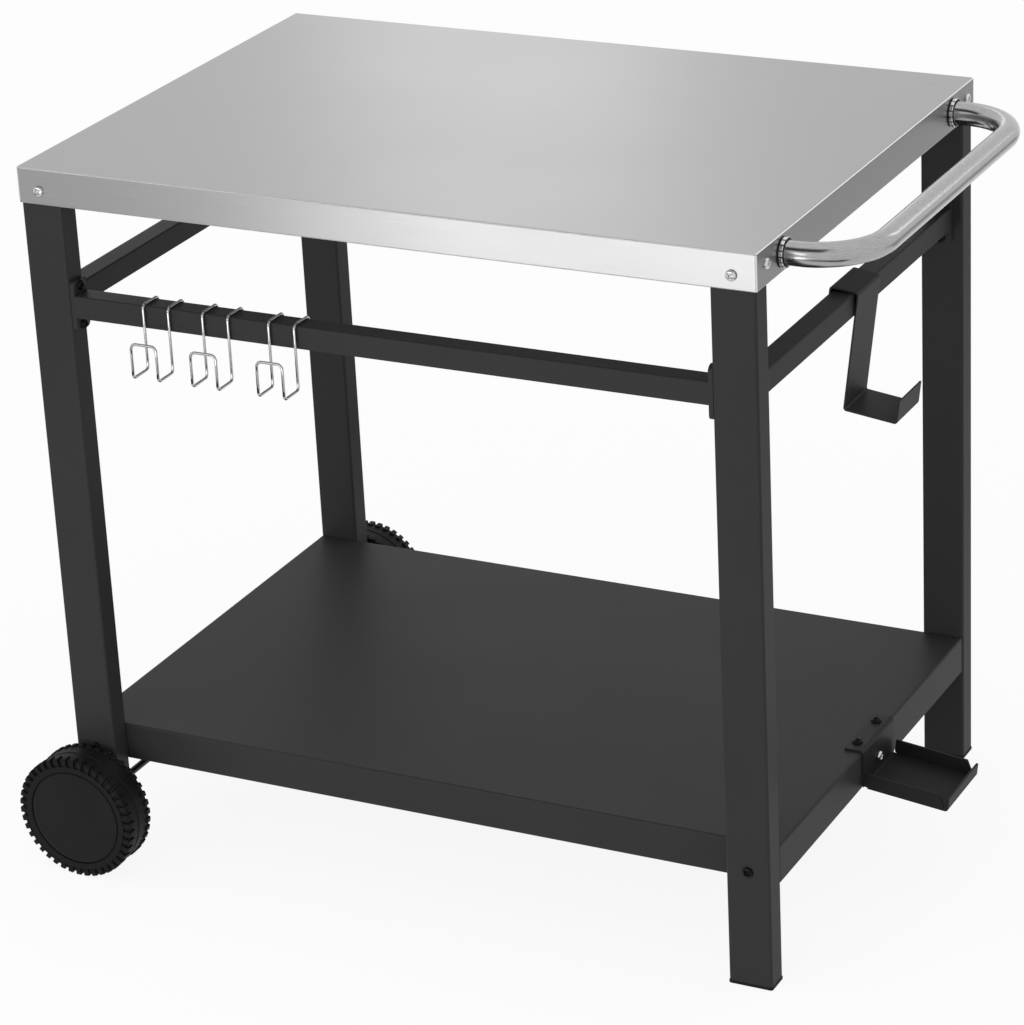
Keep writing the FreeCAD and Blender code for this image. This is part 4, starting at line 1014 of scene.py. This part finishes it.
def stage_sheet(name, points, shade):
    """Flat matt sheet of the stage, from a grid of points, and its finish."""
    surface = Surface()
    surface.grid(points, points[..., :2])
    mesh = bpy.data.meshes.new(name)
    mesh.from_pydata(points.reshape(-1, 3).tolist(), [], surface.faces)
    finish = Finish(name, {
        "Base Color": (shade, shade, shade, 1), "Roughness": 0.9, "Specular IOR Level": 0.1})
    mesh.materials.append(finish.material)
    item = bpy.data.objects.new(name, mesh)
    bpy.context.scene.collection.objects.link(item)
    return item, finish


def four_corners(corners):
    """Grid of points that run evenly between four corners."""
    u, v = np.meshgrid(np.linspace(0, 1, 4), np.linspace(0, 1, 4), indexing="ij")
    weights = np.stack([(1 - u) * (1 - v), u * (1 - v), u * v, (1 - u) * v], axis=-1)
    return weights @ np.array(corners, dtype=float)


def floor_rectangle(left, front, right, back):
    """Grid of points just above the floor."""
    return four_corners([(left, front, MM), (right, front, MM), (right, back, MM), (left, back, MM)])


def floor_ring(centre, inner, outer, start, end):
    """Part of a ring just above the floor: centre + radius * (cos, sin) between two angles in degrees."""
    radius = np.linspace(inner, outer, 3)
    angle = np.radians(np.linspace(start, end, 49))
    return turned(2, centre, angle, radius, np.full(3, MM)).transpose(1, 0, 2)


def reflection_card(name, points, shade):
    """Matt card that is seen only in reflections."""
    item, _ = stage_sheet(name, points, shade)
    item.visible_camera = False
    item.visible_diffuse = False
    item.visible_shadow = False
    item.visible_transmission = False


# Operators

class OVENTABLE_OT_fold_top(Operator):
    """Fold the stainless top, with its skirt and hem"""

    bl_idname = "oven_table.fold_top"
    bl_label = "Folded top"

    def execute(self, context):
        sizes = context.scene.oven_table_sheet
        folded_tray("top_folded_sheet", "tabletop", "brushed_stainless",
                    sizes.top_corner, sizes.top_bend, sizes.top_sheet, sizes.top_hem)
        return {"FINISHED"}


class OVENTABLE_OT_fold_shelf(Operator):
    """Fold the lower shelf"""

    bl_idname = "oven_table.fold_shelf"
    bl_label = "Lower shelf"

    def execute(self, context):
        sizes = context.scene.oven_table_sheet
        folded_tray("shelf_folded_tray", "lower_shelf", "black_powder_coat",
                    sizes.shelf_corner, sizes.shelf_bend, sizes.shelf_sheet, hem=0)
        return {"FINISHED"}


class OVENTABLE_OT_bend_handle(Operator):
    """Bend the push handle and set the rings on its feet"""

    bl_idname = "oven_table.bend_handle"
    bl_label = "Push handle"

    def execute(self, context):
        sizes = context.scene.oven_table_handle
        bent_handle("handle_bent_tube", "handle_tube", sizes.bend)
        for place in ("front", "back"):
            notched_ring("handle_ring_" + place, "handle_collar_" + place, sizes.ring_notches)
        return {"FINISHED"}


class OVENTABLE_OT_mould_wheels(Operator):
    """Mould both wheels with their tread blocks, and their hub discs"""

    bl_idname = "oven_table.mould_wheels"
    bl_label = "Wheels"

    def execute(self, context):
        sizes = context.scene.oven_table_wheel
        for place, outwards in (("front", -1), ("back", 1)):
            body = place + "_wheel"
            wheel("wheel_moulding_" + place, "wheel_" + place, body, sizes, outwards)
            hub_disc("hub_disc_" + place, "hub_cap_" + place, body, outwards)
        return {"FINISHED"}


class OVENTABLE_OT_bend_hooks(Operator):
    """Bend the three wire hooks"""

    bl_idname = "oven_table.bend_hooks"
    bl_label = "Wire hooks"

    def execute(self, context):
        sizes = context.scene.oven_table_hook
        for place in ("left", "middle", "right"):
            wire_hook("wire_hook_" + place, "hook_" + place, place + "_hook", sizes)
        return {"FINISHED"}


class OVENTABLE_OT_fold_strap(Operator):
    """Fold the strap that hangs on the right rail"""

    bl_idname = "oven_table.fold_strap"
    bl_label = "Hanging strap"

    def execute(self, context):
        sizes = context.scene.oven_table_sheet
        hanging_strap("hanger_folded_strap", "tank_hanger", "hanger", sizes.strap_sheet)
        return {"FINISHED"}


class OVENTABLE_OT_drive_screws(Operator):
    """Drive the screws and bolts whose heads show"""

    bl_idname = "oven_table.drive_screws"
    bl_label = "Screws"

    def execute(self, context):
        leg_low, leg_high = corners_of("leg_front_right")
        legs = [middle_of("leg_front_left")[0], middle_of("leg_front_right")[0]]
        both = (-1, 1)

        low, high = corners_of("tabletop")
        side_drop = 24 * MM
        end_drop = 17 * MM
        end_inset = 23 * MM
        skirt = []
        for end, edge, leg in ((-1, low[0], legs[0]), (1, high[0], legs[1])):
            for row in both:
                skirt.append(((leg, row * high[1], high[2] - side_drop), (0, row, 0)))
                skirt.append(((edge, row * (high[1] - end_inset), high[2] - end_drop), (end, 0, 0)))
        screws("skirt_screws", "tabletop_screws", "silver_screw", skirt, reach=8 * MM)

        level = middle_of("shelf_bolts")[2]
        shelf = [((leg, row * -leg_low[1], level), (0, row, 0)) for leg in legs for row in both]
        screws("shelf_cross_bolts", "shelf_bolts", "black_screw", shelf, reach=36 * MM)

        plate = 5 * MM
        offset = 21.5 * MM
        leg_middle = (leg_low[1] + leg_high[1]) / 2
        left_face = corners_of("leg_front_left")[1][0]
        rail = []
        for above in both:
            level = middle_of("front_rail")[2] + above * offset
            for leg in legs:
                rail += [((leg, row * (-leg_high[1] - plate), level), (0, -row, 0)) for row in both]
            rail.append(((left_face + plate, leg_middle, level), (1, 0, 0)))
            rail.append(((leg_low[0] - plate, leg_middle, level), (-1, 0, 0)))
        screws("rail_cross_bolts", "rail_bolts", "black_screw", rail, reach=12 * MM)

        low, high = corners_of("bracket_top_screws")
        tab_x = (low[0] + high[0]) / 2
        tab_y = (low[1] + HEAD_WIDTH / 2, high[1] - HEAD_WIDTH / 2)
        tab = [((tab_x, y, high[2] - HEAD_HEIGHT), (0, 0, 1)) for y in tab_y]
        screws("bracket_tab_screws", "bracket_top_screws", "black_screw", tab, reach=10 * MM)

        face_x = corners_of("bracket_side_screw")[1][0] - HEAD_HEIGHT
        face = [((face_x, *middle_of("bracket_side_screw")[1:]), (1, 0, 0))]
        screws("bracket_face_screw", "bracket_side_screw", "silver_screw", face, reach=10 * MM)
        return {"FINISHED"}


class OVENTABLE_OT_coat_frame(Operator):
    """Give every carried-over part of the frame its finish"""

    bl_idname = "oven_table.coat_frame"
    bl_label = "Frame finishes"

    def execute(self, context):
        slots = {part["node"]: part["material_slot"] for part in frame["record"]["subparts"]}
        slots["tank_bracket"] = "bracket_coat"
        slots["wheel_axle"] = "blackened_rod"
        for node, item in frame["nodes"].items():
            item.data.materials.clear()
            item.data.materials.append(finish_named(slots[node]))
        return {"FINISHED"}


class OVENTABLE_OT_set_studio(Operator):
    """Lay the pale floor and set the surround, the lamps and the camera"""

    bl_idname = "oven_table.set_studio"
    bl_label = "Studio"

    def execute(self, context):
        settings = context.scene.oven_table_studio
        self.lay_floor(settings)
        self.set_surround(context, settings)
        studio_panel("back_panel", (-2.3, 4.4, 2.9), (0, 0, 0.78), 0.8, 3.8, settings)
        studio_panel("front_panel", (-0.22, -1.5, 0.34), (-0.22, 0, 0.34), 1.1, 0.32, settings)
        studio_panel("foot_strip", (-1.28, -3.5, 1.95), (0.44, 0, 0.78), 3.2, 0.8, settings)
        studio_panel("top_panel", (0.3, -0.3, 2.9), (0, 0, 0.5), 2.2, 2.2, settings)
        studio_panel("side_strip", (2.43, 3.65, 2.53), (0.45, 0, 0.78), 0.25, 1.6, settings)
        # Cards that give the steel and the coat something darker to mirror than the surround
        reflection_card("studio_card_right", floor_rectangle(1.05, 1.1, 3.4, 4.2), 0.55)
        reflection_card("studio_card_back", floor_rectangle(-0.95, 0.78, 0.4, 1.08), 0.06)
        reflection_card("studio_ring", floor_ring((-0.2, -0.32), 1.1, 1.57, 122, 350), 0.02)
        flag = [(-3.6, -2.3, 2.5), (1.2, -2.3, 2.5), (1.2, -1.15, 3.3), (-3.6, -1.15, 3.3)]
        reflection_card("studio_flag", four_corners(flag), 0.03)
        self.set_camera(context)
        context.scene.view_settings.view_transform = "Standard"
        return {"FINISHED"}

    def lay_floor(self, settings):
        """Flat grid just below floor level: x and y run evenly over a wide square."""
        line = np.linspace(-9, 9, 13)
        points = np.pad(flat_map(line, line), ((0, 0), (0, 0), (0, 1)), constant_values=-0.4 * MM)
        _, floor = stage_sheet("studio_floor", points, 0.88)
        white = floor.node("ShaderNodeEmission", {"Color": (1, 1, 1, 1)})
        share = floor.node("ShaderNodeMath", {1: 1 - settings.shadow}, operation="MULTIPLY")
        blend = floor.node("ShaderNodeMixShader")
        floor.link(white_to_eyes(floor), share.inputs[0])
        floor.link(share.outputs[0], blend.inputs["Fac"])
        floor.link(floor.shader.outputs["BSDF"], blend.inputs[1])
        floor.link(white.outputs["Emission"], blend.inputs[2])
        floor.link(blend.outputs["Shader"], floor.known("Material Output").inputs["Surface"])

    def set_surround(self, context, settings):
        """White all round for eyes and mirrors, dimmer for matt surfaces."""
        context.scene.world = bpy.data.worlds.new("studio_surround")
        world = NodeTree(context.scene.world)
        level = world.node("ShaderNodeMapRange", {"To Min": settings.surround, "To Max": 1.0})
        ground = world.known("Background", {"Color": (1, 1, 1, 1)})
        world.link(white_to_eyes(world), level.inputs["Value"])
        world.link(level.outputs["Result"], ground.inputs["Strength"])

    def set_camera(self, context):
        """Camera at the photograph's angle, turned by its azimuth, elevation and roll."""
        place = (1.7648, -3.4476, 2.0286)
        azimuth, elevation, roll = (math.radians(value) for value in (27.628, 23.326, -2.948))
        focal_pixels = 3867
        image_height = 1025
        sensor = 36
        forward = Vector((-math.sin(azimuth) * math.cos(elevation),
                          math.cos(azimuth) * math.cos(elevation), -math.sin(elevation)))
        level = Vector((math.cos(azimuth), math.sin(azimuth), 0))
        upright = level.cross(forward)
        right = level * math.cos(roll) + upright * math.sin(roll)
        up = upright * math.cos(roll) - level * math.sin(roll)
        data = bpy.data.cameras.new("photo_camera")
        data.sensor_width = sensor
        data.sensor_fit = "AUTO"
        data.lens = focal_pixels / image_height * sensor
        data.clip_end = 60
        item = bpy.data.objects.new("photo_camera", data)
        turn = Matrix((right, up, -forward)).transposed()
        item.matrix_world = Matrix.Translation(place) @ turn.to_4x4()
        context.scene.collection.objects.link(item)
        context.scene.camera = item


# Sidebar

class OVENTABLE_PT_sidebar(Panel):
    """Lists the pieces of the oven table"""

    bl_idname = "OVENTABLE_PT_sidebar"
    bl_label = "Oven table"
    bl_space_type = "VIEW_3D"
    bl_region_type = "UI"
    bl_category = "Oven table"

    def draw(self, context):
        layout = self.layout
        for operator in OPERATORS:
            layout.operator(operator.bl_idname)
        for group, _ in GROUPS:
            settings = getattr(context.scene, group)
            box = layout.box()
            for key in settings.__annotations__:
                box.prop(settings, key)


# Registering and running

GROUPS = (
    ("oven_table_sheet", SheetSizes),
    ("oven_table_handle", HandleSizes),
    ("oven_table_wheel", WheelSizes),
    ("oven_table_hook", HookSizes),
    ("oven_table_finish", FinishColours),
    ("oven_table_studio", StudioSettings),
)

OPERATORS = (
    OVENTABLE_OT_fold_top,
    OVENTABLE_OT_fold_shelf,
    OVENTABLE_OT_bend_handle,
    OVENTABLE_OT_mould_wheels,
    OVENTABLE_OT_bend_hooks,
    OVENTABLE_OT_fold_strap,
    OVENTABLE_OT_drive_screws,
    OVENTABLE_OT_coat_frame,
    OVENTABLE_OT_set_studio,
)


def register():
    """Make the settings, the operators and the sidebar known to Blender."""
    for name, group in GROUPS:
        bpy.utils.register_class(group)
        setattr(bpy.types.Scene, name, PointerProperty(type=group))
    for operator in OPERATORS:
        bpy.utils.register_class(operator)
    bpy.utils.register_class(OVENTABLE_PT_sidebar)


def unregister():
    """Take them back in the opposite order."""
    bpy.utils.unregister_class(OVENTABLE_PT_sidebar)
    for operator in reversed(OPERATORS):
        bpy.utils.unregister_class(operator)
    for name, group in reversed(GROUPS):
        delattr(bpy.types.Scene, name)
        bpy.utils.unregister_class(group)


def main():
    """Build every piece in order."""
    register()
    for operator in OPERATORS:
        family, name = operator.bl_idname.split(".")
        getattr(getattr(bpy.ops, family), name)()


if __name__ == "__main__":
    main()
